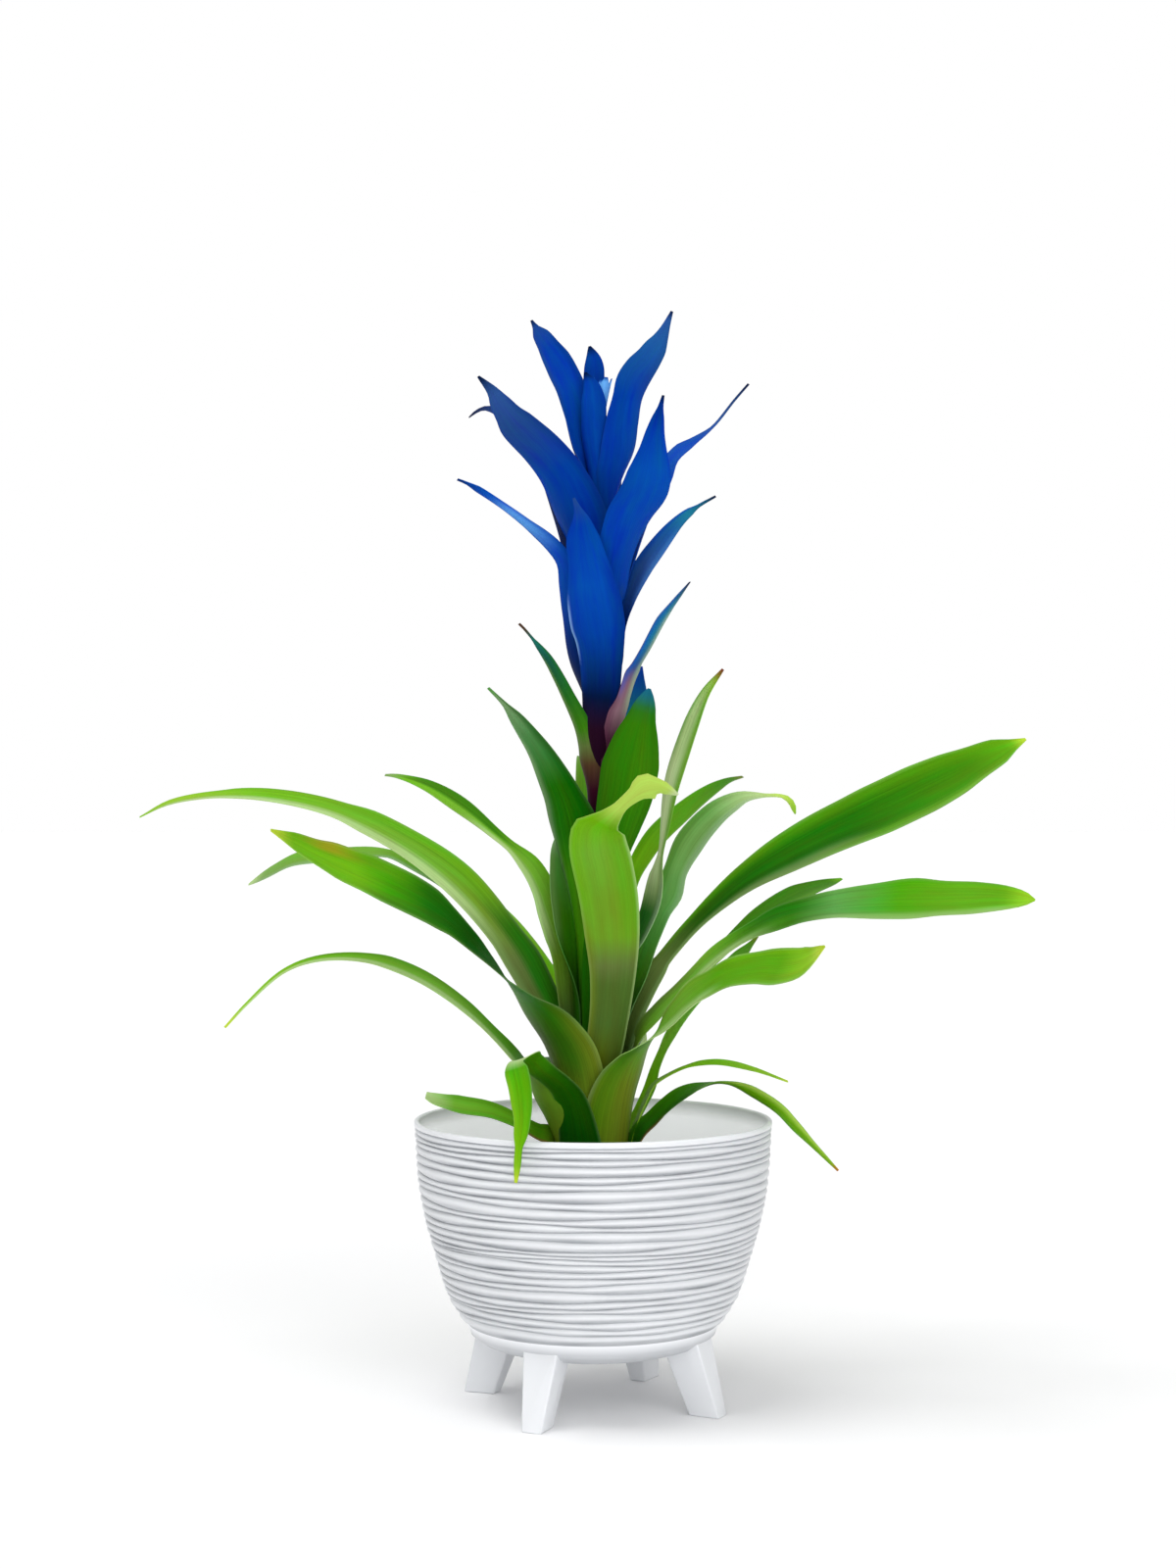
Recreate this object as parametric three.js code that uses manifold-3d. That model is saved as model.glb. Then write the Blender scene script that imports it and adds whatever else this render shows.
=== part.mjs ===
// A guzmania with blue bracts in a white ridged bowl on four splayed legs.
// Millimetres, +Z up. The origin is on the floor under the bowl's axis, and -Y is the front.
import * as THREE from "three";
import { mergeVertices } from "three/addons/utils/BufferGeometryUtils.js";
import Module from "manifold-3d";

const wasm = await Module();
wasm.setup();

// Bowl
const rimHeight = 159.4;
const rimRadius = 100;
const wallThickness = 3;
const bowlBottom = 31;
const lipRounding = 0.7;
const ridgePitch = 5.2;
const ridgeDepth = 1.3;
const ridgeTop = 155.5;
const ridgeEnd = 48;
const ridgeLowerFade = 6;
const ridgeUpperFade = 1.5;
const slowWander = { size: 0.22, turns: 3, climb: 0.09 };
const quickWander = { size: 0.16, turns: 7, climb: -0.05 };
const bowlSegments = 40;
const bowlFoot = [[bowlBottom, 35], [32.2, 46], [34.6, 57], [38, 63.2], [42.5, 68.2], [ridgeEnd, 72.8]];
const bowlOutline = [
  ...bowlFoot, [62, 81.2], [83.9, 88.3], [105.7, 94.3], [127.6, 98.1], [rimHeight, rimRadius],
];
const innerFootHeight = 36;
const innerHeights = [35, 41, 50, 62, 83.9, 105.7, 127.6];

// Legs
const legAngles = { front_left: 244.8, front_right: 334.8, back_right: 64.8, back_left: 154.8 };
const legFootReach = 78.6;
const legFootDepth = 18.3;
const legFootWidth = 12;
const legTopHeight = 52;
const legTopReach = 64.5;
const legTopDepth = 25;
const legTopWidth = 23;
const legInnerTaper = 0.8;
const legGap = 0.35;
const legCutterTop = 62;

// Soil
const soilEdgeHeight = 127;
const soilRings = [0.75, 0.5];
const soilCrown = 4;
const soilGap = 0.35;
const soilHoleFloorRadius = 22.4;
const soilHoleTopRadius = 28.5;
const soilHoleFloor = 112;

// Flower stalk
const stalkRoute = [[0, 0, 112.35], [0, 0, 200], [2, 0, 300], [5.5, 0, 380], [5, 0, 470], [4, 0, 540]];
const stalkRadii = [5.2, 5.2, 5, 4.6, 3.6, 1.6];
const stalkSides = 10;
const stalkSteps = 12;

// Leaves
const leafBaseHeight = 112.4;
const sheathThickness = 0.7;
const bladeThickness = 1.4;
const edgeThickness = 0.7;
const sheathReach = 13;
const sheathFade = 12;
const leafSteps = 11;
const bractSteps = 8;
const narrowHalfWidth = 5.5;
const neighbourGap = 0.32;
const smallestDetail = 0.1;
const widestWrap = 62;
const sheathClearance = 3;
const sameLevel = 20;
const leastCurl = 22;
const edgeThinning = 1.5;
const tipThinsFrom = 0.8;

const colours = {
  pot: "#ebecf0", soil: "#4a3324", stalk: "#4c1030", midGreen: "#4f9a1e", darkGreen: "#1f7a22",
  yellowGreen: "#8fb42c", paleGreen: "#7fb233", teal: "#0f6b4a", blue: "#053ca8", navy: "#051e6e",
  skyBlue: "#5a8ce1", mauve: "#6a3b62",
};

// Each midrib is a list of [reach from the stalk's axis, height, sideways shift], from base to tip.
// halfWidth, roll and curl are lists of [share of the length, value].
const leaves = [
  { name: "tall_left_leaf", colour: "darkGreen", azimuth: -140,
    midrib: [[6.7, leafBaseHeight], [7.4, 200], [8.6, 250], [12, 292], [17, 319], [22, 336], [30, 351],
      [37, 364, -2], [45, 375, -4], [57, 389, -6], [68, 399, -8]],
    halfWidth: [[0.3, 8], [0.6, 16], [0.69, 17], [0.75, 12.5], [0.8, 10], [0.85, 7.5], [0.92, 4.5],
      [0.96, 1.5], [1, 0.8]],
    roll: [[0, 0], [0.45, 0], [0.65, 25], [1, 25]] },
  { name: "back_tall_leaf", colour: "teal", azimuth: 70,
    midrib: [[6.7, leafBaseHeight], [7.6, 200], [12, 296], [16, 324, -1], [21, 351, -5], [28, 375, -10],
      [34, 395, -14], [39, 413, -15]],
    halfWidth: [[0.3, 8], [0.6, 8.5], [0.7, 10.5], [0.79, 11], [0.87, 9.5], [0.94, 6.5], [0.975, 3],
      [1, 0.8]],
    roll: [[0, 0], [1, 0]] },
  { name: "thin_upright_leaf", colour: "paleGreen", azimuth: -10,
    midrib: [[9.5, leafBaseHeight], [11, 185], [14, 228], [20, 248], [28, 264], [34, 280], [37, 300],
      [40.5, 320], [44.5, 344], [51, 366], [59, 388], [64, 398], [73, 410]],
    halfWidth: [[0.3, 9], [0.43, 9], [0.5, 9], [0.56, 10], [0.6, 8], [0.62, 5], [0.65, 2.5], [0.69, 4],
      [0.73, 5.5], [0.8, 7], [0.88, 6], [0.95, 3.25], [1, 0.8]],
    roll: [[0, 0], [0.35, 0], [0.5, 35], [0.6, 40], [1, 60]] },
  { name: "blue_tipped_leaf", colour: "darkGreen", azimuth: -80,
    midrib: [[8.1, leafBaseHeight], [9.2, 200], [10.5, 255], [13, 290, 6], [15, 306, 8], [18, 322, 11],
      [22, 340, 15], [25, 355, 17], [28, 374, 20], [29.5, 391, 24], [30, 399, 26]],
    halfWidth: [[0.3, 8], [0.54, 7.5], [0.61, 8.5], [0.67, 10], [0.73, 14], [0.79, 16.5], [0.84, 17],
      [0.875, 15], [0.91, 12], [0.94, 8.5], [0.97, 6], [0.99, 3], [1, 0.8]],
    roll: [[0, 0], [1, 0]] },
  { name: "inner_left_leaf", colour: "teal", azimuth: 175,
    midrib: [[8.1, leafBaseHeight], [9.2, 200], [12, 245], [14.5, 269], [17, 288], [18, 300],
      [18.5, 310], [17, 325]],
    halfWidth: [[0.3, 9], [0.74, 10.5], [0.82, 9.5], [0.875, 8], [0.925, 6.25], [0.965, 3.5], [1, 0.8]],
    roll: [[0, 0], [0.5, 0], [0.75, -60], [1, -60]] },
  { name: "back_high_leaf", colour: "midGreen", azimuth: 90,
    midrib: [[9.5, leafBaseHeight], [11.2, 200], [19, 260], [38, 320], [70, 357], [112, 357],
      [145, 329]],
    halfWidth: [[0.3, 9], [0.6, 10.5], [0.85, 9], [1, 0.8]],
    roll: [[0, 0], [1, 0]] },
  { name: "back_right_short_leaf", colour: "midGreen", azimuth: 55,
    midrib: [[8.1, leafBaseHeight], [9.2, 200], [18, 250], [29, 275], [39, 293], [60, 313], [91, 329],
      [116, 339.5], [140, 347], [158, 349.5]],
    halfWidth: [[0.3, 8], [0.52, 6], [0.58, 5], [0.63, 6], [0.72, 6.75], [0.83, 5.5], [0.9, 4],
      [0.94, 2.5], [1, 0.8]],
    roll: [[0, 0], [0.4, 0], [0.7, 30], [1, 30]] },
  { name: "upper_left_leaf", colour: "midGreen", azimuth: 160,
    midrib: [[9.5, leafBaseHeight], [10.8, 170], [14, 215], [17, 252], [24, 273], [37, 299],
      [61, 319.5], [81, 334], [101, 345], [120, 350.5], [127, 351]],
    halfWidth: [[0.25, 12], [0.44, 13], [0.5, 11], [0.55, 9.5], [0.59, 7.5], [0.65, 6.5], [0.71, 3.5],
      [0.75, 4], [0.84, 6], [0.91, 4.5], [0.95, 2.75], [1, 0.8]],
    roll: [[0, 0], [0.2, 0], [0.45, -50], [1, -35]] },
  { name: "centre_front_leaf", colour: "yellowGreen", azimuth: -88,
    midrib: [[9.5, leafBaseHeight], [11.5, 150], [16, 178], [22, 204, 6], [25, 240, 10], [28, 266, 9.5],
      [30, 285, 7.5], [32.5, 300, 4.5], [35, 313, 1.5], [38, 321.5, 2], [44, 329, 8], [53, 338, 17],
      [60, 344.5, 27], [61, 345, 34], [60, 343, 38.5], [57, 341, 43.5]],
    halfWidth: [[0.2, 10], [0.375, 11], [0.475, 13], [0.57, 16], [0.64, 17], [0.7, 17.25], [0.78, 15],
      [0.8, 9.5], [0.825, 6.25], [0.86, 4], [0.9, 5], [0.935, 10], [0.955, 5.5], [0.975, 3.5], [1, 0.8]],
    roll: [[0, 0], [1, 0]] },
  { name: "curl_right_leaf", colour: "midGreen", azimuth: 14,
    midrib: [[11, leafBaseHeight], [13.2, 170], [18.5, 212], [25, 235], [31, 255], [38.5, 273.5],
      [44.5, 285], [48, 296.5], [57.5, 314], [71.5, 329], [80.5, 335], [88, 338.5], [102.5, 339.5],
      [110.5, 339], [115, 336], [118.5, 329]],
    halfWidth: [[0.25, 10], [0.43, 10.5], [0.51, 7.75], [0.58, 7.25], [0.62, 9], [0.665, 8],
      [0.735, 10.5], [0.77, 10.25], [0.805, 9.5], [0.845, 7.75], [0.87, 5.5], [0.9, 3], [0.925, 1.5],
      [0.955, 1.75], [0.97, 4], [0.985, 4.5], [1, 0.8]],
    roll: [[0, 0], [0.3, 0], [0.6, 45], [0.8, 35], [1, 35]] },
  { name: "far_left_leaf", colour: "darkGreen", azimuth: 147,
    midrib: [[15.7, leafBaseHeight], [18.5, 160], [27, 200], [42, 233], [75.5, 267.5], [101, 286.5],
      [122, 296.5], [141, 304], [162, 304], [183, 302.5], [212, 299.5], [231, 292], [249, 284]],
    halfWidth: [[0.25, 7], [0.35, 6], [0.48, 9], [0.57, 5], [0.69, 4], [0.75, 7], [0.86, 7.5],
      [0.92, 7], [0.95, 6], [0.975, 4], [1, 0.8]],
    roll: [[0, 0], [0.45, 0], [0.7, -28], [1, -42]] },
  { name: "broad_right_leaf", colour: "darkGreen", azimuth: 20,
    midrib: [[12.5, leafBaseHeight], [15, 165], [20, 205], [28.5, 226], [36, 239], [48.5, 254],
      [59, 265], [74.5, 278.5], [94, 292.5], [134, 313], [177, 330.5], [219, 348.5], [253, 364],
      [272.5, 372]],
    halfWidth: [[0.2, 8], [0.29, 8.5], [0.325, 8], [0.35, 5.25], [0.41, 5.5], [0.46, 7], [0.52, 9.5],
      [0.575, 12.5], [0.63, 14.5], [0.69, 16], [0.745, 17.25], [0.8, 17.25], [0.86, 15.5],
      [0.91, 11.75], [0.95, 9], [0.975, 4.5], [1, 0.8]],
    roll: [[0, 0], [0.12, 0], [0.25, 30], [0.4, 35], [0.6, 50], [1, 52]] },
  { name: "long_left_leaf", colour: "midGreen", azimuth: 172,
    midrib: [[12.5, leafBaseHeight], [15, 165], [21, 208], [31, 227], [41, 246], [51.5, 262], [77, 291],
      [108, 313], [147, 331], [185.5, 339], [216.5, 339.5], [244, 335], [261.5, 327]],
    halfWidth: [[0.2, 12], [0.3, 14], [0.35, 15], [0.4, 13], [0.5, 14], [0.6, 12], [0.65, 11.5],
      [0.7, 8.5], [0.8, 7.5], [0.85, 6.5], [0.88, 5], [0.95, 4.25], [1, 0.8]],
    roll: [[0, 0], [0.12, 0], [0.28, -32], [0.5, -35], [1, -20]] },
  { name: "back_arch_leaf", colour: "midGreen", azimuth: 83,
    midrib: [[12.5, leafBaseHeight], [15, 165], [22, 215], [46, 265], [84, 296], [122, 292], [150, 262]],
    halfWidth: [[0.2, 11], [0.5, 15], [0.8, 12], [1, 0.8]], roll: [[0, 0], [1, 0]] },
  { name: "inner_level_right_leaf", colour: "darkGreen", azimuth: 42,
    midrib: [[14.1, leafBaseHeight], [17, 162], [24, 190], [34, 204.5], [61, 223], [96, 245],
      [133, 267], [165, 279.5], [203.5, 287.5]],
    halfWidth: [[0.2, 6], [0.33, 4], [0.45, 5.25], [0.6, 4.75], [0.69, 6], [0.75, 7.25], [0.86, 8],
      [0.91, 6.25], [0.96, 4], [1, 0.8]],
    roll: [[0, 0], [0.4, 15], [1, 25]] },
  { name: "twisted_left_leaf", colour: "midGreen", azimuth: -137,
    midrib: [[14.1, leafBaseHeight], [16.5, 150], [21, 182], [26.5, 198], [34, 209.5], [47, 226],
      [59, 236], [71, 246], [89.5, 262], [115, 280], [153, 296.5], [192, 311], [222.5, 324.5]],
    halfWidth: [[0.2, 17], [0.26, 20], [0.35, 20], [0.41, 14], [0.46, 9], [0.5, 8], [0.545, 8],
      [0.6, 10], [0.645, 13], [0.72, 14], [0.77, 14], [0.82, 12.75], [0.86, 12], [0.9, 9.25],
      [0.945, 6.75], [0.975, 3.5], [1, 0.8]],
    roll: [[0, 0], [0.32, 0], [0.42, -18], [0.49, -42], [0.57, -62], [1, -55]] },
  { name: "level_right_leaf", colour: "midGreen", azimuth: -15,
    midrib: [[15.7, leafBaseHeight], [19.5, 165], [27.5, 206], [37, 218.5], [50.5, 231.5], [61.5, 244],
      [76.5, 256.5], [104, 272], [134, 279.5], [164.5, 282.5], [192, 283.5], [221.5, 285], [245, 284.5]],
    halfWidth: [[0.2, 10], [0.28, 11], [0.33, 9.5], [0.38, 9.5], [0.43, 7], [0.49, 7.25], [0.54, 8.25],
      [0.58, 10], [0.62, 9.25], [0.67, 11.25], [0.72, 13.5], [0.76, 14.25], [0.81, 15.5], [0.85, 14.25],
      [0.89, 13.25], [0.93, 10.5], [0.96, 8], [0.985, 5], [1, 0.8]],
    roll: [[0, 0], [0.15, 0], [0.32, 30], [0.6, 40], [1, 42]] },
  { name: "back_low_leaf", colour: "darkGreen", azimuth: 104,
    midrib: [[15.7, leafBaseHeight], [18.5, 155], [30, 192], [62, 226], [100, 238], [134, 218]],
    halfWidth: [[0.2, 11], [0.55, 15], [0.85, 10], [1, 0.8]], roll: [[0, 0], [1, 0]] },
  { name: "notched_right_leaf", colour: "paleGreen", azimuth: -47,
    midrib: [[17.3, leafBaseHeight], [19.5, 150], [25, 178], [34.5, 197], [45, 206], [59.5, 218.5],
      [78, 232], [102, 244.5], [128.5, 250.5], [145.5, 251.5], [158.5, 254.5], [174, 264]],
    halfWidth: [[0.2, 16], [0.3, 15], [0.36, 13], [0.41, 14], [0.49, 13], [0.58, 14], [0.63, 11.75],
      [0.69, 10.75], [0.75, 11], [0.8, 10.75], [0.87, 11.75], [0.925, 10.5], [0.965, 5.5], [1, 0.8]],
    roll: [[0, 0], [0.28, 0], [0.4, 20], [0.5, 48], [1, 55]] },
  { name: "droop_left_leaf", colour: "paleGreen", azimuth: -155,
    midrib: [[17.3, leafBaseHeight], [20.5, 145], [26, 159], [32, 170], [37, 182], [47, 194.5],
      [56.5, 205], [77.5, 224.5], [105, 242.5], [133.5, 252.5], [162, 253.5], [181.5, 247.5],
      [202, 231], [214, 219]],
    halfWidth: [[0.1, 13], [0.2, 15], [0.26, 11], [0.31, 7], [0.4, 5.75], [0.46, 6.25], [0.57, 6.75],
      [0.63, 6.5], [0.68, 4.75], [0.78, 2.75], [0.85, 1.75], [1, 0.8]],
    roll: [[0, 0], [0.16, 0], [0.28, -38], [0.45, -42], [0.75, -30], [1, -20]] },
  { name: "back_fall_leaf", colour: "paleGreen", azimuth: 78,
    midrib: [[17.3, leafBaseHeight], [19.5, 140], [30, 168], [64, 200], [106, 200], [138, 172]],
    halfWidth: [[0.2, 9], [0.55, 11], [0.85, 8], [1, 0.8]], roll: [[0, 0], [1, 0]] },
  { name: "over_rim_right_leaf", colour: "midGreen", azimuth: -8,
    midrib: [[20.5, leafBaseHeight], [23.5, 142], [28, 154], [33, 159], [40, 166.5], [48.5, 173],
      [62, 178.5], [70, 180.5], [81, 179], [96, 171.5], [104.5, 165.5], [113, 156.5], [129.5, 140],
      [136.5, 133]],
    halfWidth: [[0.22, 10], [0.28, 6.75], [0.35, 5.5], [0.4, 6], [0.45, 6.5], [0.5, 5], [0.55, 2.5],
      [0.6, 3.5], [0.64, 4.75], [0.69, 5], [0.81, 4.5], [0.885, 2.75], [0.945, 1.75], [1, 0.8]],
    roll: [[0, 0], [0.2, 25], [0.35, 45], [0.5, 0], [0.62, -45], [1, -45]] },
  { name: "low_left_leaf", colour: "darkGreen", azimuth: -168,
    midrib: [[20.5, leafBaseHeight], [21.5, 142], [25, 150], [31, 152], [41, 157.5], [58, 165],
      [75.5, 168.5], [90.5, 172.5], [94.5, 174.5]],
    halfWidth: [[0.2, 8], [0.33, 8.25], [0.41, 7], [0.5, 6.25], [0.6, 6.75], [0.82, 7.5], [0.9, 6],
      [0.96, 4.75], [1, 3]],
    roll: [[0, 0], [0.15, 0], [0.32, -35], [1, -35]] },
  { name: "back_right_straight_leaf", colour: "midGreen", azimuth: 52,
    midrib: [[18.9, leafBaseHeight], [24, 140], [43.5, 160], [53.5, 172], [58.5, 182.5], [74, 201],
      [95.5, 217.5], [128.5, 235], [154, 248.5], [161.5, 253]],
    halfWidth: [[0.2, 5], [0.26, 4], [0.34, 4.25], [0.4, 3.25], [0.45, 3], [0.51, 4], [0.64, 4.25],
      [0.72, 5], [0.82, 5], [0.9, 4.5], [0.96, 2], [1, 0.8]],
    roll: [[0, 0], [0.3, 0], [1, 15]] },
  { name: "far_right_thin_leaf", colour: "yellowGreen", azimuth: 13,
    midrib: [[18.9, leafBaseHeight], [21, 142], [25, 156], [31, 170], [34.5, 176.5], [38, 179.5],
      [54, 187], [71, 189], [93, 184.5], [113.5, 177]],
    halfWidth: [[0.15, 3], [0.3, 4], [0.4, 4.5], [0.45, 4], [0.53, 2], [0.59, 1.5], [0.65, 2.25],
      [0.78, 3], [0.86, 2.25], [0.92, 1.5], [1, 0.8]],
    roll: [[0, 0], [0.45, 0], [0.65, 30], [1, 30]] },
  { name: "folded_front_leaf", colour: "midGreen", azimuth: -112,
    midrib: [[18.9, leafBaseHeight], [21.5, 142], [28, 164], [36, 176.5, -1], [46, 184.5, -4],
      [60, 191.5, -5.5], [72, 199, -6], [83, 201, -5], [95, 199.5, -6], [101, 195, -2.5], [105, 188, 1],
      [108, 172, 3.5], [107, 156.5, 1], [105, 143.5, -1], [104, 138, -2]],
    halfWidth: [[0.26, 11], [0.33, 9.75], [0.4, 9], [0.48, 7.75], [0.55, 6], [0.6, 8], [0.66, 4.5],
      [0.7, 6.5], [0.785, 5.75], [0.83, 4.5], [0.87, 3.75], [0.91, 2], [0.94, 2], [1, 0.8]],
    roll: [[0, 0], [0.35, 0], [0.5, 12], [0.6, 20], [0.7, 0], [1, 0]] },
  { name: "back_left_leaf", colour: "midGreen", azimuth: 122,
    midrib: [[14.1, leafBaseHeight], [17, 162], [29, 208], [64, 238], [109, 267], [162, 290]],
    halfWidth: [[0.2, 8], [0.4, 8.5], [0.7, 12], [0.88, 8], [1, 0.8]], roll: [[0, 0], [1, 0]] },
  { name: "back_left_low_leaf", colour: "midGreen", azimuth: 110,
    midrib: [[20.5, leafBaseHeight], [23, 138], [35, 164], [62, 184], [92, 182], [114, 162]],
    halfWidth: [[0.2, 8], [0.6, 9], [0.85, 6], [1, 0.8]], roll: [[0, 0], [1, 0]] },
];

// Bracts clasp the stalk, the lowest outermost. Reach is from the stalk's own axis at each height.
const bracts = [
  { name: "top_back_bract", colour: "navy", azimuth: 100,
    midrib: [[3.9, 500], [5.5, 522, 1], [7, 538, 2.5], [8, 555, 2.5], [9, 568, 2.5], [11, 584, 2],
      [12, 592, 4]],
    halfWidth: [[0.2, 8], [0.42, 10], [0.59, 7.5], [0.74, 6.5], [0.85, 6], [0.91, 4.75], [0.96, 2.75],
      [1, 0.7]],
    roll: [[0, 0], [1, 0]] },
  { name: "top_inner_bract", colour: "navy", azimuth: -115,
    midrib: [[3.9, 500], [6, 526, -2], [7.5, 542, -3.5], [9, 558, -3.5], [9, 566, -3.5], [9, 575, -5]],
    halfWidth: [[0.35, 8.5], [0.56, 7], [0.77, 5.75], [0.89, 3.25], [1, 0.7]],
    roll: [[0, 0], [1, 0]] },
  { name: "top_left_bract", colour: "blue", azimuth: 178,
    midrib: [[4.2, 484], [8, 512], [12.5, 538], [14.5, 552], [18, 566], [21.5, 574.5], [25, 582.5],
      [29.5, 590.5], [36.5, 601.5], [38.5, 605]],
    halfWidth: [[0.2, 10], [0.43, 14], [0.545, 12.5], [0.65, 11], [0.73, 10.5], [0.8, 9.5],
      [0.865, 7.25], [0.925, 5.5], [0.97, 1.75], [1, 0.7]],
    roll: [[0, 0], [0.15, 0], [0.4, -45], [1, -60]] },
  { name: "top_right_bract", colour: "blue", azimuth: -28,
    midrib: [[4.2, 484], [8, 510], [13, 531], [14.5, 547.5], [17, 560], [20, 569], [24.5, 575.5],
      [30.5, 582], [37.5, 592], [44.5, 606.5]],
    halfWidth: [[0.2, 8], [0.36, 8.5], [0.49, 8.25], [0.59, 8.5], [0.66, 9.25], [0.72, 8.75],
      [0.79, 7.25], [0.83, 6.5], [0.88, 4.25], [0.935, 2.25], [1, 0.7]],
    roll: [[0, 0], [0.25, -20], [0.6, -55], [1, -60]] },
  { name: "left_front_bract", colour: "blue", azimuth: -140,
    midrib: [[4.9, 436], [8.5, 452], [13, 480], [20.5, 502], [29, 516.5], [41, 528.5], [59.5, 541.5],
      [71, 552.5], [76, 558.5], [86, 566]],
    halfWidth: [[0.13, 12], [0.3, 16], [0.43, 14.75], [0.53, 13.25], [0.63, 12], [0.71, 11.25],
      [0.775, 10.25], [0.83, 7.5], [0.875, 6], [0.92, 3.5], [1, 0.7]],
    roll: [[0, 0], [0.1, 15], [0.35, 32], [1, 40]] },
  { name: "right_front_bract", colour: "blue", azimuth: -60,
    midrib: [[4.9, 436], [10, 444], [15, 454], [18, 465], [25.5, 480], [35.5, 493], [45, 503],
      [51, 511.5], [56, 526], [58.5, 536], [64, 549], [67, 555.5]],
    halfWidth: [[0.1, 9], [0.26, 8.5], [0.38, 10.25], [0.49, 11.5], [0.6, 13.25], [0.67, 12.5],
      [0.725, 10.25], [0.785, 7.5], [0.85, 5.25], [0.905, 3.5], [0.955, 1.5], [1, 0.7]],
    roll: [[0, 0], [0.3, 0], [0.6, -20], [1, -20]] },
  { name: "back_upper_bract", colour: "navy", azimuth: 90,
    midrib: [[4.9, 436], [9, 458], [19, 490], [36, 524], [58, 552], [74, 560]],
    halfWidth: [[0.4, 12], [0.7, 12], [1, 0.7]], roll: [[0, 0], [1, 0]] },
  { name: "right_thin_bract", colour: "blue", azimuth: 18,
    midrib: [[5.2, 408], [9.5, 440], [16.5, 468], [25.5, 495], [36.5, 515], [42, 528], [48.5, 534.5],
      [55, 539], [67, 548], [80, 563.5], [88.5, 573]],
    halfWidth: [[0.2, 8], [0.34, 10], [0.48, 7], [0.59, 8.75], [0.66, 6.75], [0.71, 6.5], [0.75, 4],
      [0.79, 2.25], [0.83, 1], [1, 0.7]],
    roll: [[0, 0], [0.4, 10], [1, 40]] },
  { name: "left_far_bract", colour: "navy", azimuth: 157,
    midrib: [[5.2, 408], [12, 434], [20, 470], [30, 505], [42, 536.5], [51.5, 547.5], [59.5, 554],
      [65.5, 557.5], [70.5, 559], [76, 557.5], [81, 554.5]],
    halfWidth: [[0.4, 8], [0.73, 6.75], [0.815, 5.75], [0.87, 4.25], [0.91, 3.5], [0.94, 3.25],
      [0.97, 3], [1, 0.7]],
    roll: [[0, 0], [0.6, 0], [0.85, -20], [1, -35]] },
  { name: "left_thin_bract", colour: "skyBlue", azimuth: -155,
    midrib: [[5.5, 374], [8.5, 389], [13, 405], [16, 422], [18, 441], [20.5, 457], [23, 469],
      [29.5, 477.5], [46.5, 490.5], [64.5, 502], [80.5, 510.5], [86.5, 512.5]],
    halfWidth: [[0.085, 7], [0.19, 9], [0.29, 8.25], [0.4, 8.25], [0.485, 7], [0.555, 5.5], [0.62, 5],
      [0.675, 4.25], [0.74, 3], [0.86, 2.25], [0.92, 2.25], [0.965, 1], [1, 0.7]],
    roll: [[0, 0], [0.08, 0], [0.3, 32], [1, 40]] },
  { name: "right_low_bract", colour: "blue", azimuth: 2,
    midrib: [[5.5, 374], [6.5, 393], [8.5, 412], [10.5, 434], [15.5, 449.5], [22.5, 465.5],
      [31.5, 478.5], [43.5, 493], [53.5, 501], [64, 507]],
    halfWidth: [[0.12, 6], [0.25, 5.25], [0.39, 4], [0.5, 4.75], [0.56, 6.25], [0.61, 7.25],
      [0.66, 7.25], [0.72, 6.75], [0.78, 5.75], [0.84, 4.25], [0.89, 3], [0.925, 1.25], [1, 0.7]],
    roll: [[0, 0], [0.08, 0], [0.3, 45], [1, 50]] },
  { name: "back_low_bract", colour: "navy", azimuth: 92,
    midrib: [[5.5, 374], [12, 400], [20, 435], [29, 470], [42, 500]],
    halfWidth: [[0.4, 14], [0.7, 13], [1, 0.7]], roll: [[0, 0], [1, 0]] },
  { name: "front_bract", colour: "blue", azimuth: -95,
    midrib: [[5.7, 356], [11, 380, -1.5], [16, 400], [20.5, 425], [23, 436, -1.5], [25, 448, -3],
      [27.5, 464, -5], [29.5, 480, -8], [31, 492, -9], [32, 503, -12.5]],
    halfWidth: [[0.1, 9], [0.275, 11.5], [0.37, 12.5], [0.46, 14.5], [0.53, 16.5], [0.61, 16],
      [0.7, 13.25], [0.77, 11], [0.845, 9.5], [0.91, 5.5], [0.96, 2], [1, 0.7]],
    roll: [[0, 0], [1, 0]] },
  { name: "scape_right_bract", colour: "mauve", azimuth: -40,
    midrib: [[5.6, 340], [7, 362], [10, 376], [15.5, 393.5], [21.5, 407.5], [31.5, 421], [43.5, 437.5],
      [55.5, 450], [62, 456.5]],
    halfWidth: [[0.2, 8], [0.34, 8.5], [0.42, 5.75], [0.48, 5.5], [0.53, 6], [0.57, 4.5], [0.73, 5.25],
      [0.8, 5.75], [0.87, 4.25], [0.93, 3], [1, 0.7]],
    roll: [[0, 0], [0.4, 0], [1, 15]] },
  { name: "scape_left_bract", colour: "teal", azimuth: -150,
    midrib: [[5.6, 326], [7, 344], [8.5, 356], [10, 367.5], [13.5, 378.5], [23, 396], [28.5, 405.5],
      [35, 415.5], [41, 422.5], [49.5, 431.5], [53, 434.5]],
    halfWidth: [[0.15, 7], [0.24, 9], [0.34, 6.75], [0.44, 5.5], [0.51, 4.75], [0.6, 4], [0.69, 3.5],
      [0.79, 2.75], [0.86, 1.75], [0.91, 0.8], [1, 0.7]],
    roll: [[0, 0], [0.1, 0], [0.3, 30], [1, 40]] },
  { name: "scape_back_bract", colour: "teal", azimuth: 95,
    midrib: [[5.7, 322], [8, 345], [15, 372], [26, 400], [40, 418]],
    halfWidth: [[0.4, 10], [0.7, 8], [1, 0.7]], roll: [[0, 0], [1, 0]] },
];

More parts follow.
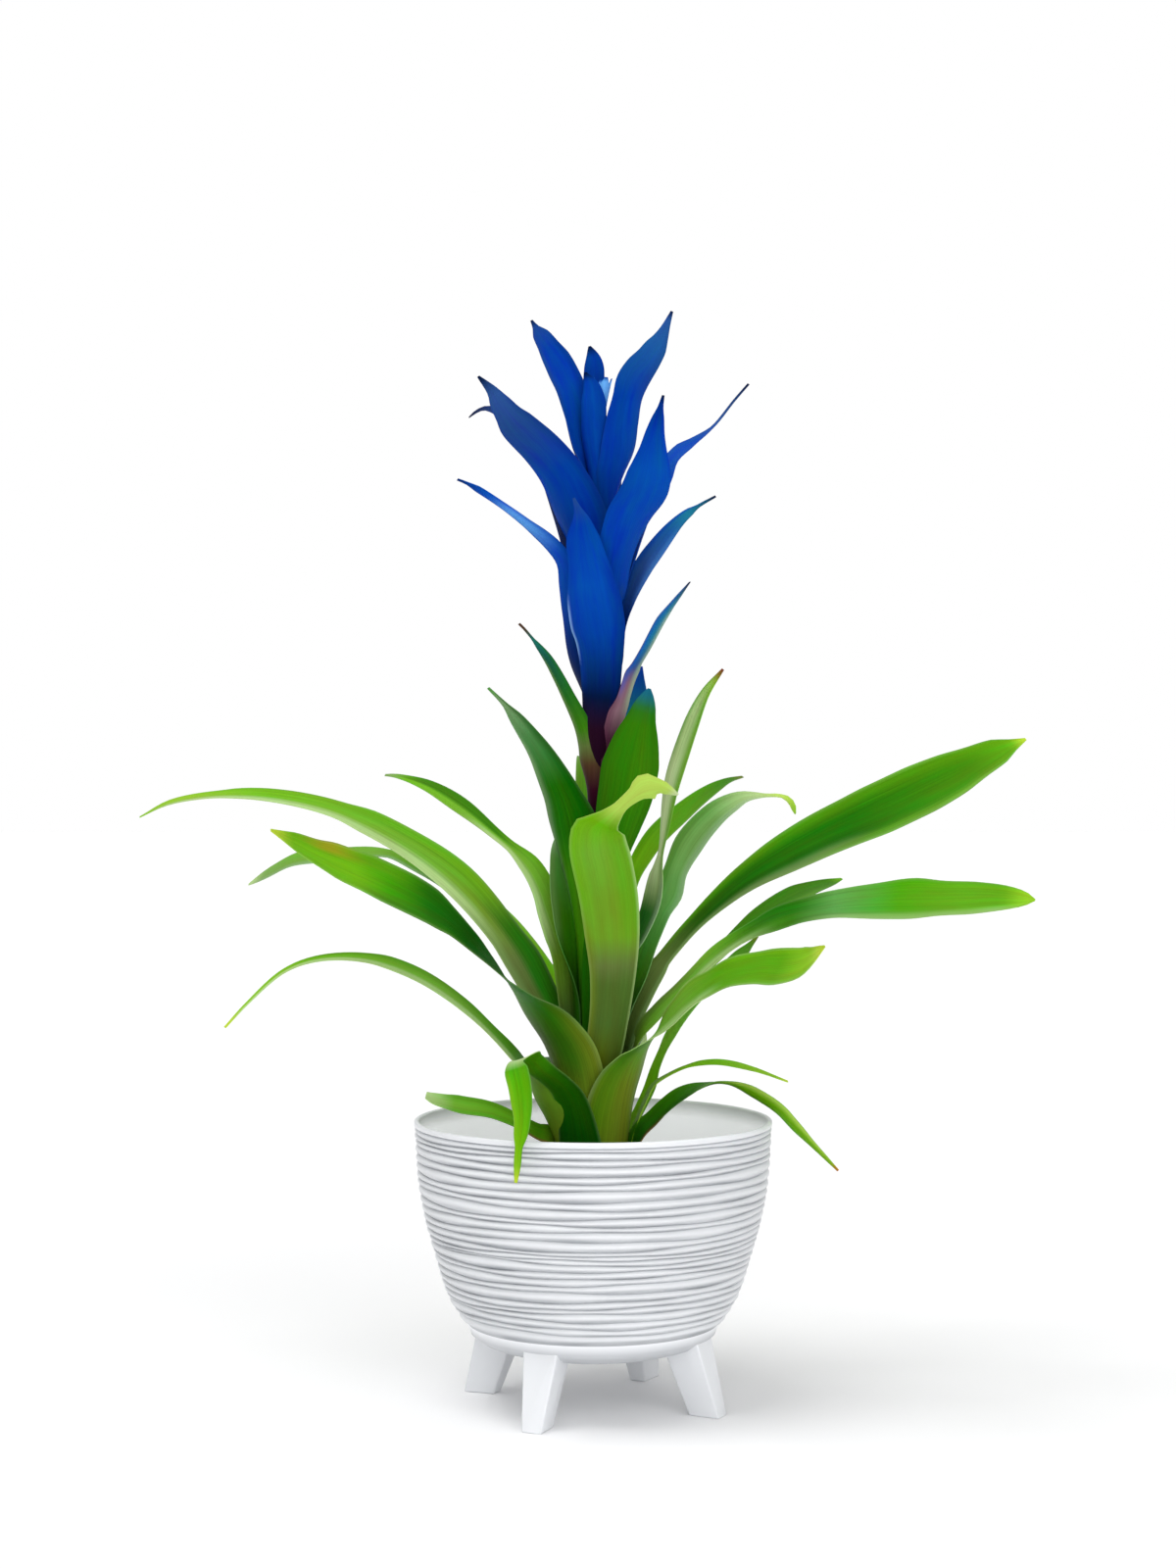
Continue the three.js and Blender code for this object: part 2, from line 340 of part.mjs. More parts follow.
// Pale petals that open at the top of the flower head, round a slim bud on the stalk's tip.
const budBase = 540.4;
const budHeight = 20;
const budRadius = 2.6;
const budSides = 8;
const petalTurns = [-60, 12, 84, 156, 228];
const petal = {
  midrib: [[1.2, budBase + 4], [3, budBase + 16], [5, budBase + 26], [6.5, budBase + 32]],
  halfWidth: [[0.5, 3.2], [0.8, 3], [1, 1]], roll: [[0, 0], [1, 0]],
};
const petalSteps = 4;

// The value at share t of the length, eased between its stations.
function valueAt(stations, t) {
  let i = 0;
  while (i < stations.length - 2 && t > stations[i + 1][0]) i += 1;
  const [t0, v0] = stations[i];
  const [t1, v1] = stations[i + 1];
  const share = THREE.MathUtils.clamp((t - t0) / (t1 - t0), 0, 1);
  return v0 + (v1 - v0) * share * share * (3 - 2 * share);
}

// Where the stalk's axis is at a height.
function axisAt(height) {
  let i = 0;
  while (i < stalkRoute.length - 2 && height > stalkRoute[i + 1][2]) i += 1;
  const [x0, y0, z0] = stalkRoute[i];
  const [x1, y1, z1] = stalkRoute[i + 1];
  const share = THREE.MathUtils.clamp((height - z0) / (z1 - z0), 0, 1);
  return new THREE.Vector2(x0 + (x1 - x0) * share, y0 + (y1 - y0) * share);
}

// Joins rings of points, all with the same count, into the side of a solid.
// From column turned on, the quads are split along their other diagonal, so that a blade's
// two faces bend alike.
function loft(rings, turned = Infinity) {
  const count = rings[0].length;
  const positions = rings.flat().flatMap((p) => [p.x, p.y, p.z]);
  const index = [];
  for (let i = 0; i < rings.length - 1; i += 1) {
    for (let j = 0; j < count; j += 1) {
      const a = i * count + j;
      const b = i * count + (j + 1) % count;
      if (j < turned) index.push(a, b, b + count, a, b + count, a + count);
      else index.push(a, b, a + count, b, b + count, a + count);
    }
  }
  const geometry = new THREE.BufferGeometry();
  geometry.setAttribute("position", new THREE.Float32BufferAttribute(positions, 3));
  return { geometry, index };
}

// How far, in degrees, a sheath may wrap each way before it meets its neighbour at the same reach.
function wrapFor(spec, all) {
  const [reach] = spec.midrib[0];
  const others = all.filter((other) => other !== spec && other.midrib[0][0] === reach
    && Math.abs(other.midrib[0][1] - spec.midrib[0][1]) < sameLevel);
  const turns = others.map((other) => {
    const turn = Math.abs(spec.azimuth - other.azimuth) % 360;
    return Math.min(turn, 360 - turn) / 2 - sheathClearance;
  });
  return Math.min(widestWrap, ...turns);
}

// A blade: a thin channelled strip along its midrib, wrapped round the stalk at its base.
// margin makes it thicker and wider all round, for cutting neighbours clear of it.
function bladeGeometry(spec, steps, followsStalk, margin) {
  const azimuth = THREE.MathUtils.degToRad(spec.azimuth);
  const out = new THREE.Vector3(Math.cos(azimuth), Math.sin(azimuth), 0);
  const aside = new THREE.Vector3(-Math.sin(azimuth), Math.cos(azimuth), 0);
  const points = spec.midrib.map(([reach, height, shift = 0]) => {
    const axis = followsStalk ? axisAt(height) : new THREE.Vector2(0, 0);
    const point = new THREE.Vector3(axis.x, axis.y, height);
    return point.addScaledVector(out, reach).addScaledVector(aside, shift);
  });
  const curve = new THREE.CatmullRomCurve3(points, false, "centripetal");
  curve.arcLengthDivisions = 400;
  const baseReach = spec.midrib[0][0];
  const wrap = THREE.MathUtils.degToRad(spec.wrap);
  const widths = [[0, baseReach * wrap], ...spec.halfWidth];
  const widest = Math.max(...spec.halfWidth.map(([, w]) => w));
  const across = widest > narrowHalfWidth ? [-1, -0.5, 0, 0.5, 1] : [-1, 0, 1];
  let side = aside.clone();
  const rings = [];
  for (let i = 0; i <= steps; i += 1) {
    const t = i / steps;
    const centre = curve.getPointAt(t);
    const along = curve.getTangentAt(t);
    side = side.addScaledVector(along, -side.dot(along)).normalize();
    const roll = THREE.MathUtils.degToRad(valueAt(spec.roll, t));
    const s = side.clone().applyAxisAngle(along, roll);
    const up = along.clone().cross(s);
    const axis = followsStalk ? axisAt(centre.z) : new THREE.Vector2(0, 0);
    const reach = Math.hypot(centre.x - axis.x, centre.y - axis.y);
    const half = Math.min(valueAt(widths, t), reach * wrap);
    const bend = Math.max(half / Math.max(reach, baseReach), THREE.MathUtils.degToRad(leastCurl));
    const radius = half / bend;
    const sheath = THREE.MathUtils.clamp((reach - sheathReach) / sheathFade, 0, 1);
    const middle = THREE.MathUtils.lerp(sheathThickness, bladeThickness, sheath);
    const nearTip = THREE.MathUtils.clamp((t - tipThinsFrom) / (1 - tipThinsFrom), 0, 1);
    const spread = 1 + margin / half;
    const upper = [];
    const lower = [];
    across.forEach((u) => {
      const angle = u * bend * spread;
      const inwards = up.clone().multiplyScalar(Math.cos(angle)).addScaledVector(s, -Math.sin(angle));
      const thick = THREE.MathUtils.lerp(middle, edgeThickness, Math.abs(u) ** edgeThinning);
      const slim = THREE.MathUtils.lerp(thick, edgeThickness, nearTip);
      const point = centre.clone().addScaledVector(s, radius * Math.sin(angle));
      point.addScaledVector(up, radius * (1 - Math.cos(angle)));
      upper.push(point.clone().addScaledVector(inwards, slim / 2 + margin));
      lower.unshift(point.clone().addScaledVector(inwards, -slim / 2 - margin));
    });
    rings.push([...upper, ...lower]);
  }
  return closedBlade(rings, across.length);
}

// Closes the flat base and tip of a blade whose rings run over its upper face and back under it.
function closedBlade(rings, across) {
  const { geometry, index } = loft(rings, across);
  const count = across * 2;
  const last = (rings.length - 1) * count;
  for (let j = 0; j < across - 1; j += 1) {
    const low = count - 1 - j;
    index.push(j, low, low - 1, j, low - 1, j + 1);
    index.push(last + j, last + low - 1, last + low, last + j, last + j + 1, last + low - 1);
  }
  geometry.setIndex(index);
  return outward(geometry);
}

// Turns a closed mesh inside out if its volume is negative.
function outward(geometry) {
  const p = geometry.getAttribute("position");
  const index = Array.from(geometry.index.array);
  const a = new THREE.Vector3();
  const b = new THREE.Vector3();
  const c = new THREE.Vector3();
  let volume = 0;
  for (let i = 0; i < index.length; i += 3) {
    a.fromBufferAttribute(p, index[i]);
    b.fromBufferAttribute(p, index[i + 1]);
    c.fromBufferAttribute(p, index[i + 2]);
    volume += a.dot(b.cross(c));
  }
  if (volume < 0) {
    for (let i = 0; i < index.length; i += 3) [index[i], index[i + 1]] = [index[i + 1], index[i]];
    geometry.setIndex(index);
  }
  return geometry;
}

function toSolid(geometry) {
  const bare = geometry.clone();
  bare.deleteAttribute("normal");
  bare.deleteAttribute("uv");
  const merged = mergeVertices(bare, 1e-4);
  const mesh = new wasm.Mesh({
    numProp: 3,
    vertProperties: new Float32Array(merged.getAttribute("position").array),
    triVerts: new Uint32Array(merged.index.array),
  });
  return new wasm.Manifold(mesh);
}

function toGeometry(solid) {
  const mesh = solid.getMesh();
  const geometry = new THREE.BufferGeometry();
  geometry.setAttribute("position", new THREE.BufferAttribute(new Float32Array(mesh.vertProperties), 3));
  geometry.setIndex(new THREE.BufferAttribute(new Uint32Array(mesh.triVerts), 1));
  return geometry;
}

function largestPiece(solid) {
  const pieces = solid.decompose();
  return pieces.reduce((best, piece) => (piece.volume() > best.volume() ? piece : best));
}

function material(colour, roughness) {
  return new THREE.MeshStandardMaterial({ color: colours[colour], roughness, metalness: 0 });
}

function named(name, geometry, colour, roughness) {
  const mesh = new THREE.Mesh(geometry, material(colour, roughness));
  mesh.name = name;
  return mesh;
}

function outlineRadius(height) {
  const i = Math.max(bowlOutline.findIndex(([z]) => z >= height), 1);
  const [z0, r0] = bowlOutline[i - 1];
  const [z1, r1] = bowlOutline[i];
  return r0 + (r1 - r0) * (height - z0) / (z1 - z0);
}

// A ring round the bowl's axis; relief, if given, adds to the radius at each angle.
function ringAt(radius, height, relief) {
  const ring = [];
  for (let j = 0; j < bowlSegments; j += 1) {
    const angle = 2 * Math.PI * j / bowlSegments;
    const r = radius + (relief ? relief(height, angle) : 0);
    ring.push(new THREE.Vector3(r * Math.cos(angle), r * Math.sin(angle), height));
  }
  return ring;
}

// Wavy string-like ridges: each one bulges between two creases that wander up and down.
function ridgeRelief(height, angle) {
  const wander = [slowWander, quickWander].reduce(
    (sum, { size, turns, climb }) => sum + size * Math.sin(turns * angle + height * climb), 0,
  );
  const fade = THREE.MathUtils.smoothstep(height, ridgeEnd, ridgeEnd + ridgeLowerFade)
    * (1 - THREE.MathUtils.smoothstep(height, ridgeTop - ridgeUpperFade, ridgeTop));
  const phase = Math.PI * ((ridgeTop - height) / ridgePitch + wander);
  return -ridgeDepth * fade * (1 - Math.abs(Math.sin(phase)));
}

function bowlGeometry() {
  const rings = bowlFoot.map(([height, radius]) => ringAt(radius, height));
  const rows = 2 * Math.round((ridgeTop - ridgeEnd) / ridgePitch);
  for (let i = 1; i <= rows; i += 1) {
    const height = ridgeEnd + (ridgeTop - ridgeEnd) * i / rows;
    rings.push(ringAt(outlineRadius(height), height, ridgeRelief));
  }
  rings.push(ringAt(rimRadius - 0.1, rimHeight - lipRounding));
  rings.push(ringAt(rimRadius - lipRounding, rimHeight));
  rings.push(ringAt(rimRadius - wallThickness + lipRounding, rimHeight));
  [...innerHeights].reverse().forEach((height) => {
    rings.push(ringAt(outlineRadius(Math.max(height, innerFootHeight)) - wallThickness, height));
  });
  return closedLathe(rings);
}

// Closes the first and last ring of a turned body to a point on the axis.
function closedLathe(rings) {
  const count = rings[0].length;
  const { geometry, index } = loft(rings);
  const positions = Array.from(geometry.getAttribute("position").array);
  const first = positions.length / 3;
  positions.push(0, 0, rings[0][0].z, 0, 0, rings[rings.length - 1][0].z);
  const last = (rings.length - 1) * count;
  for (let j = 0; j < count; j += 1) {
    index.push(first, (j + 1) % count, j);
    index.push(first + 1, last + j, last + (j + 1) % count);
  }
  geometry.setAttribute("position", new THREE.Float32BufferAttribute(positions, 3));
  geometry.setIndex(index);
  return outward(geometry);
}

function legGeometry(azimuth) {
  const a = THREE.MathUtils.degToRad(azimuth);
  const out = new THREE.Vector3(Math.cos(a), Math.sin(a), 0);
  const aside = new THREE.Vector3(-Math.sin(a), Math.cos(a), 0);
  const section = (outer, depth, width, height) => {
    const half = width / 2;
    const inner = outer - depth;
    const innerHalf = half * legInnerTaper;
    const corners = [[outer, -half], [outer, half], [inner, innerHalf], [inner, -innerHalf]];
    return corners.map(([r, w]) => {
      const corner = new THREE.Vector3(0, 0, height);
      return corner.addScaledVector(out, r).addScaledVector(aside, w);
    });
  };
  const foot = section(legFootReach, legFootDepth, legFootWidth, 0);
  const top = section(legTopReach, legTopDepth, legTopWidth, legTopHeight);
  const { geometry, index } = loft([foot, top]);
  index.push(0, 2, 1, 0, 3, 2, 4, 5, 6, 4, 6, 7);
  geometry.setIndex(index);
  return outward(geometry);
}

// The bowl's foot, swollen by a gap, that the leg tops are cut by.
function bowlFootCutter(gap) {
  const rings = bowlFoot.map(([height, radius]) => ringAt(radius + gap, height - gap));
  rings.push(ringAt(outlineRadius(legCutterTop) + gap, legCutterTop));
  return closedLathe(rings);
}

function soilGeometry() {
  const inset = wallThickness + soilGap;
  const heights = innerHeights.filter((height) => height < soilEdgeHeight);
  const rings = heights.map((height) => {
    const radius = outlineRadius(Math.max(height, innerFootHeight)) - inset;
    return ringAt(radius, height === innerHeights[0] ? height + soilGap : height);
  });
  const edge = outlineRadius(soilEdgeHeight) - inset;
  rings.push(ringAt(edge, soilEdgeHeight));
  soilRings.forEach((share) => {
    rings.push(ringAt(edge * share, soilEdgeHeight + soilCrown * (1 - share ** 2)));
  });
  rings.push(ringAt(soilHoleTopRadius, soilEdgeHeight + soilCrown));
  rings.push(ringAt(soilHoleFloorRadius, soilHoleFloor));
  return closedLathe(rings);
}

function stalkGeometry() {
  const route = stalkRoute.map((p) => new THREE.Vector3(...p));
  const curve = new THREE.CatmullRomCurve3(route, false, "centripetal");
  const rings = [];
  for (let i = 0; i <= stalkSteps; i += 1) {
    const t = i / stalkSteps;
    const centre = curve.getPoint(t);
    const span = t * (stalkRadii.length - 1);
    const k = Math.min(Math.floor(span), stalkRadii.length - 2);
    const radius = THREE.MathUtils.lerp(stalkRadii[k], stalkRadii[k + 1], span - k);
    const ring = [];
    for (let j = 0; j < stalkSides; j += 1) {
      const angle = 2 * Math.PI * j / stalkSides;
      const offset = new THREE.Vector3(Math.cos(angle), Math.sin(angle), 0).multiplyScalar(radius);
      ring.push(offset.add(centre));
    }
    rings.push(ring);
  }
  const { geometry, index } = loft(rings);
  const last = stalkSteps * stalkSides;
  for (let j = 1; j < stalkSides - 1; j += 1) {
    index.push(0, j + 1, j, last, last + j, last + j + 1);
  }
  geometry.setIndex(index);
  return outward(geometry);
}

function flowerGeometry() {
  const profile = [[0, 0], [1, 0], [1, 0.6], [0.35, 1], [0, 1]];
  const points = profile.map(([r, z]) => new THREE.Vector2(r * budRadius, z * budHeight));
  const axis = axisAt(budBase);
  const bud = new THREE.LatheGeometry(points, budSides).rotateX(Math.PI / 2);
  bud.translate(axis.x, axis.y, budBase);
  let solid = toSolid(bud);
  petalTurns.forEach((azimuth) => {
    const blade = bladeGeometry({ ...petal, azimuth, wrap: widestWrap }, petalSteps, true, 0);
    solid = solid.add(toSolid(blade));
  });
  return toGeometry(solid);
}

const plant = new THREE.Group();
plant.name = "potted_guzmania";
plant.add(named("pot_bowl", bowlGeometry(), "pot", 0.35));
const bowlCutter = toSolid(bowlFootCutter(legGap));
Object.entries(legAngles).forEach(([place, azimuth]) => {
  const leg = largestPiece(toSolid(legGeometry(azimuth)).subtract(bowlCutter));
  plant.add(named(`${place}_leg`, toGeometry(leg), "pot", 0.35));
});
plant.add(named("soil", soilGeometry(), "soil", 0.95));
plant.add(named("flower_stalk", stalkGeometry(), "stalk", 0.5));

// Adds one blade, cut clear of the blades already placed.
const placed = [];
function addBlade(spec, steps, followsStalk) {
  let solid = toSolid(bladeGeometry(spec, steps, followsStalk, 0));
  placed.filter((other) => solid.intersect(other).volume() > 0).forEach((other) => {
    solid = largestPiece(solid.subtract(other)).simplify(smallestDetail);
  });
  plant.add(named(spec.name, toGeometry(solid), spec.colour, 0.42));
  placed.push(toSolid(bladeGeometry(spec, steps, followsStalk, neighbourGap)));
}
leaves.forEach((spec) => addBlade({ ...spec, wrap: wrapFor(spec, leaves) }, leafSteps, false));
bracts.forEach((spec) => addBlade({ ...spec, wrap: wrapFor(spec, bracts) }, bractSteps, true));
plant.add(named("flower_petals", flowerGeometry(), "skyBlue", 0.4));

export default plant;
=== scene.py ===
import math
import random
import bpy
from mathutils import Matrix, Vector, noise


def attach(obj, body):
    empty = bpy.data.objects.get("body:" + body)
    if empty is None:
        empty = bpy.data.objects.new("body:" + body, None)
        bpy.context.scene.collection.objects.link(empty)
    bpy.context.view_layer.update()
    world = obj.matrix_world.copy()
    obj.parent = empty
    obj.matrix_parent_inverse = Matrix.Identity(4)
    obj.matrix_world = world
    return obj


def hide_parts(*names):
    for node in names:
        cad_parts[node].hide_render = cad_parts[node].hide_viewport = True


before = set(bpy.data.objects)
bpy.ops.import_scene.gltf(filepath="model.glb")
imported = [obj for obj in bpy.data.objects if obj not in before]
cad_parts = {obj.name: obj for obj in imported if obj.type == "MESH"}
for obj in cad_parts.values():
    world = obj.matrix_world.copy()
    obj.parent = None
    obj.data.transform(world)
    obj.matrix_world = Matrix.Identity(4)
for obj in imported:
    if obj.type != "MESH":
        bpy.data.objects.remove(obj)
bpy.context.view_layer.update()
body = "root"
mm = 0.001
print("frame loaded")

# Tones as they would be picked in a colour picker, each with a maker's plain name
tones = {
    "white": "#e2e4e7", "paintedShadeGrey": "#85898f", "peat": "#2b1c12", "bark": "#5c3d26", "husk": "#6b4426",
    "bottle": "#0c4a04", "forest": "#265a0a", "deep": "#1c6604", "jungle": "#24681c", "dark": "#2f7008",
    "leaf": "#3e7e08", "mid": "#57990f", "grass": "#459400", "fresh": "#6a9624", "fern": "#6ba42d",
    "bright": "#6aac0c", "lime": "#8abc24", "yellow": "#b4cc34", "paleLime": "#b6d65a", "pale": "#aeca86",
    "cream": "#ccdaa8", "olive": "#566008", "moss": "#64741a", "khaki": "#748820", "ash": "#62743a",
    "greyGreen": "#4c6628", "sage": "#7d9b5a", "silver": "#86a678", "mint": "#74aa58", "jade": "#559444",
    "sea": "#4a8246", "frost": "#a4c09a", "pine": "#1a5640", "teal": "#1a6a60", "tealBlue": "#14607a",
    "rust": "#c07020", "brown": "#4d2f18", "umber": "#5a4128", "aqua": "#6aaef6", "redTip": "#7a2a22",
    "maroon": "#3e0c22", "wine": "#26081c", "plum": "#562a40", "mauve": "#8a6076", "rose": "#9c7484",
    "blue": "#0444a6", "royal": "#023a9a", "navy": "#02286c", "night": "#021238", "cobalt": "#0e50b6",
    "steel": "#1c5698", "slate": "#2a4e8e", "dusk": "#1e4284", "sky": "#5490e0", "ice": "#8fbcf4",
    "lagoon": "#1a7492",
}


# A tone as linear values, by the usual screen curve
def linearTone(name):
    parts = [int(tones[name][i:i + 2], 16) / 255 for i in (1, 3, 5)]
    return Vector([p / 12.92 if p <= 0.04045 else ((p + 0.055) / 1.055) ** 2.4 for p in parts])


# Stations are {place: value} from the first place to the last, and this is the one just before t
def stationBefore(places, t):
    i = 0
    while i < len(places) - 2 and t > places[i + 1]:
        i += 1
    return i


def toneAlong(stations, t):
    places, names = list(stations), list(stations.values())
    i = stationBefore(places, t)
    share = min(max((t - places[i]) / (places[i + 1] - places[i]), 0), 1)
    return linearTone(names[i]).lerp(linearTone(names[i + 1]), share)


# A smooth value through the stations that never swings past them
def smoothValue(stations, t):
    points = list(stations.items())
    slopes = [(b[1] - a[1]) / (b[0] - a[0]) for a, b in zip(points, points[1:])]
    i = stationBefore(list(stations), t)

    def lean(k):
        if k == 0:
            return slopes[0]
        if k == len(slopes):
            return slopes[-1]
        before, after = slopes[k - 1], slopes[k]
        return 2 * before * after / (before + after) if before * after > 0 else 0

    (t0, v0), (t1, v1) = points[i], points[i + 1]
    span = t1 - t0
    s = min(max((t - t0) / span, 0), 1)
    start = (2 * s ** 3 - 3 * s ** 2 + 1) * v0 + (s ** 3 - 2 * s ** 2 + s) * span * lean(i)
    end = (3 * s ** 2 - 2 * s ** 3) * v1 + (s ** 3 - s ** 2) * span * lean(i + 1)
    return start + end


def smoothStep(low, high, value):
    s = min(max((value - low) / (high - low), 0), 1)
    return s * s * (3 - 2 * s)


def newMaterial(name):
    material = bpy.data.materials.new(name)
    material.use_nodes = True
    return material, material.node_tree, material.node_tree.nodes["Principled BSDF"]


# Camera, floor and light
camera = {"place": (-0.0029, -1.556, 0.361), "tiltDown": 0.54, "lens": 64, "sensor": 36, "farEnd": 60}
floorValues = {"size": 24, "tone": (0.97, 0.97, 0.975), "roughness": 0.6, "shine": 0.1}
lightValues = {
    "lamps": {"frontLamp": {"from": (0.3, -1.0, 0.4), "softness": 60, "strength": 1.4},
              "topLamp": {"from": (-0.4, -0.25, 1.3), "softness": 35, "strength": 1.35}},
    "sky": 0.55,
}


def setCamera(values):
    bpy.ops.object.camera_add(location=values["place"])
    eye = bpy.context.object
    eye.rotation_euler = (math.radians(90 - values["tiltDown"]), 0, 0)
    eye.data.lens = values["lens"]
    eye.data.sensor_width = values["sensor"]
    eye.data.clip_end = values["farEnd"]
    bpy.context.scene.camera = eye


# Large soft lamps far away: one right of the camera, and one high on the left that lays the shadow rightwards
def addLamp(name, values):
    bpy.ops.object.light_add(type="SUN", location=values["from"])
    lamp = bpy.context.object
    lamp.name = name
    lamp.data.angle = math.radians(values["softness"])
    lamp.data.energy = values["strength"]
    lamp.rotation_euler = (-Vector(values["from"])).to_track_quat("-Z", "Y").to_euler()


# The sky lights the plant evenly, and is plain white behind it
def setSky(strength):
    world = bpy.data.worlds.new("studioSky")
    world.use_nodes = True
    bpy.context.scene.world = world
    nodes, links = world.node_tree.nodes, world.node_tree.links
    background = nodes["Background"]
    background.inputs["Color"].default_value = (1, 1, 1, 1)
    path = nodes.new("ShaderNodeLightPath")
    choose = nodes.new("ShaderNodeMix")
    choose.inputs["A"].default_value = strength
    choose.inputs["B"].default_value = 1
    links.new(path.outputs["Is Camera Ray"], choose.inputs["Factor"])
    links.new(choose.outputs["Result"], background.inputs["Strength"])


def setStage():
    bpy.ops.object.select_all(action="DESELECT")
    bpy.ops.mesh.primitive_plane_add(size=floorValues["size"], location=(0, 0, 0))
    floor = bpy.context.object
    floor.name = "studio_floor"
    paint, _, shader = newMaterial("paleFloor")
    shader.inputs["Base Color"].default_value = (*floorValues["tone"], 1)
    shader.inputs["Roughness"].default_value = floorValues["roughness"]
    shader.inputs["Specular IOR Level"].default_value = floorValues["shine"]
    floor.data.materials.append(paint)
    for name, lamp in lightValues["lamps"].items():
        addLamp(name, lamp)
    setSky(lightValues["sky"])
    bpy.context.scene.view_settings.view_transform = "Standard"


setCamera(camera)
setStage()
print("stage set")


# A node with its settings and the values of its open sockets
def addNode(tree, kind, values=None, **settings):
    node = tree.nodes.new(kind)
    for name, value in settings.items():
        setattr(node, name, value)
    for name, value in (values or {}).items():
        node.inputs[name].default_value = value
    return node


def newGroup(name, inputs, outputs):
    group = bpy.data.node_groups.new(name, "ShaderNodeTree")
    for socket, kind, value in inputs:
        made = group.interface.new_socket(socket, in_out="INPUT", socket_type=kind)
        if value is not None:
            made.default_value = value
    for socket, kind in outputs:
        group.interface.new_socket(socket, in_out="OUTPUT", socket_type=kind)
    return group, group.nodes.new("NodeGroupInput"), group.nodes.new("NodeGroupOutput")


def stretched(tree, vector, stretch):
    node = addNode(tree, "ShaderNodeVectorMath", operation="MULTIPLY")
    node.inputs[1].default_value = stretch
    tree.links.new(vector, node.inputs[0])
    return node.outputs[0]


def scaledNoise(tree, vector, stretch, detail):
    cloud = addNode(tree, "ShaderNodeTexNoise", {"Scale": 1, "Detail": detail, "Roughness": 0.6})
    tree.links.new(stretched(tree, vector, stretch), cloud.inputs["Vector"])
    return cloud.outputs["Fac"]


def mathNode(tree, operation, first, second, third=None):
    node = addNode(tree, "ShaderNodeMath", operation=operation)
    for socket, value in zip(node.inputs, (first, second, third)):
        if isinstance(value, (int, float)):
            socket.default_value = value
        elif value is not None:
            tree.links.new(value, socket)
    return node.outputs[0]


def mixedTone(group, share, first, second):
    blend = addNode(group, "ShaderNodeMix", data_type="RGBA")
    for value, socket in ((share, "Factor"), (first, "A"), (second, "B")):
        group.links.new(value, blend.inputs[socket])
    return blend.outputs["Result"]


# A group's colour, roughness and height go to a material's own shader
def dress(tree, grain, shader, relief, strength):
    for output, socket in (("Colour", "Base Color"), ("Roughness", "Roughness")):
        if output in grain.outputs:
            tree.links.new(grain.outputs[output], shader.inputs[socket])
    bump = addNode(tree, "ShaderNodeBump", {"Distance": relief * mm, "Strength": strength})
    tree.links.new(grain.outputs["Height"], bump.inputs["Height"])
    tree.links.new(bump.outputs["Normal"], shader.inputs["Normal"])


# Lengthwise veins and soft blotches. A stretch is how fine a pattern is across a blade and along it.
grainValues = {
    "broadVein": (5.5, 0.8, 1), "fineVein": (17, 1.1, 1), "blotch": (1.3, 2.6, 1), "broadShare": 0.6,
    "veinMiddle": 0.8, "blotchMiddle": 0.5, "hueShift": 0.12, "plainHue": 0.5, "roughShift": 0.18,
    "broadRelief": 0.5,
}


def makeBladeGrain(values):
    group, given, result = newGroup("bladeGrain", [
        ("Tint", "NodeSocketColor", None), ("Map", "NodeSocketVector", None),
        ("Veins", "NodeSocketFloat", 0.2), ("Blotches", "NodeSocketFloat", 0.15),
        ("Gloss", "NodeSocketFloat", 0.4),
    ], [("Colour", "NodeSocketColor"), ("Roughness", "NodeSocketFloat"), ("Height", "NodeSocketFloat")])
    place = given.outputs["Map"]
    broadVein = scaledNoise(group, place, values["broadVein"], 2)
    fineVein = scaledNoise(group, place, values["fineVein"], 3)
    blotch = scaledNoise(group, place, values["blotch"], 4)
    veins = mathNode(group, "MULTIPLY_ADD", broadVein, values["broadShare"], fineVein)
    veins = mathNode(group, "SUBTRACT", veins, values["veinMiddle"])
    veins = mathNode(group, "MULTIPLY", veins, given.outputs["Veins"])
    clouds = mathNode(group, "SUBTRACT", blotch, values["blotchMiddle"])
    clouds = mathNode(group, "MULTIPLY", clouds, given.outputs["Blotches"])
    light = mathNode(group, "ADD", veins, clouds)
    light = mathNode(group, "ADD", light, 1)
    turn = mathNode(group, "MULTIPLY_ADD", clouds, values["hueShift"], values["plainHue"])
    shift = addNode(group, "ShaderNodeHueSaturation", {"Saturation": 1, "Fac": 1})
    group.links.new(turn, shift.inputs["Hue"])
    group.links.new(light, shift.inputs["Value"])
    group.links.new(given.outputs["Tint"], shift.inputs["Color"])
    group.links.new(shift.outputs["Color"], result.inputs["Colour"])
    rough = mathNode(group, "MULTIPLY_ADD", blotch, values["roughShift"], given.outputs["Gloss"])
    group.links.new(rough, result.inputs["Roughness"])
    height = mathNode(group, "MULTIPLY_ADD", broadVein, values["broadRelief"], fineVein)
    group.links.new(height, result.inputs["Height"])
    return group


def makeBladeSkin(name, attribute, values):
    skin, tree, shader = newMaterial(name)
    tint = addNode(tree, "ShaderNodeAttribute", attribute_name=attribute)
    place = addNode(tree, "ShaderNodeAttribute", attribute_name="bladeMap")
    grain = addNode(tree, "ShaderNodeGroup", node_tree=bladeGrain)
    for socket in ("Blotches", "Gloss"):
        grain.inputs[socket].default_value = values[socket.lower()]
    veins = mathNode(tree, "MULTIPLY", tint.outputs["Alpha"], values["veins"])
    tree.links.new(veins, grain.inputs["Veins"])
    tree.links.new(tint.outputs["Color"], grain.inputs["Tint"])
    tree.links.new(place.outputs["Vector"], grain.inputs["Map"])
    shader.inputs["Specular IOR Level"].default_value = values["shine"]
    shader.inputs["Specular Tint"].default_value = (*linearTone(values["glint"]), 1)
    dress(tree, grain, shader, values["relief"], 0.6)
    return skin


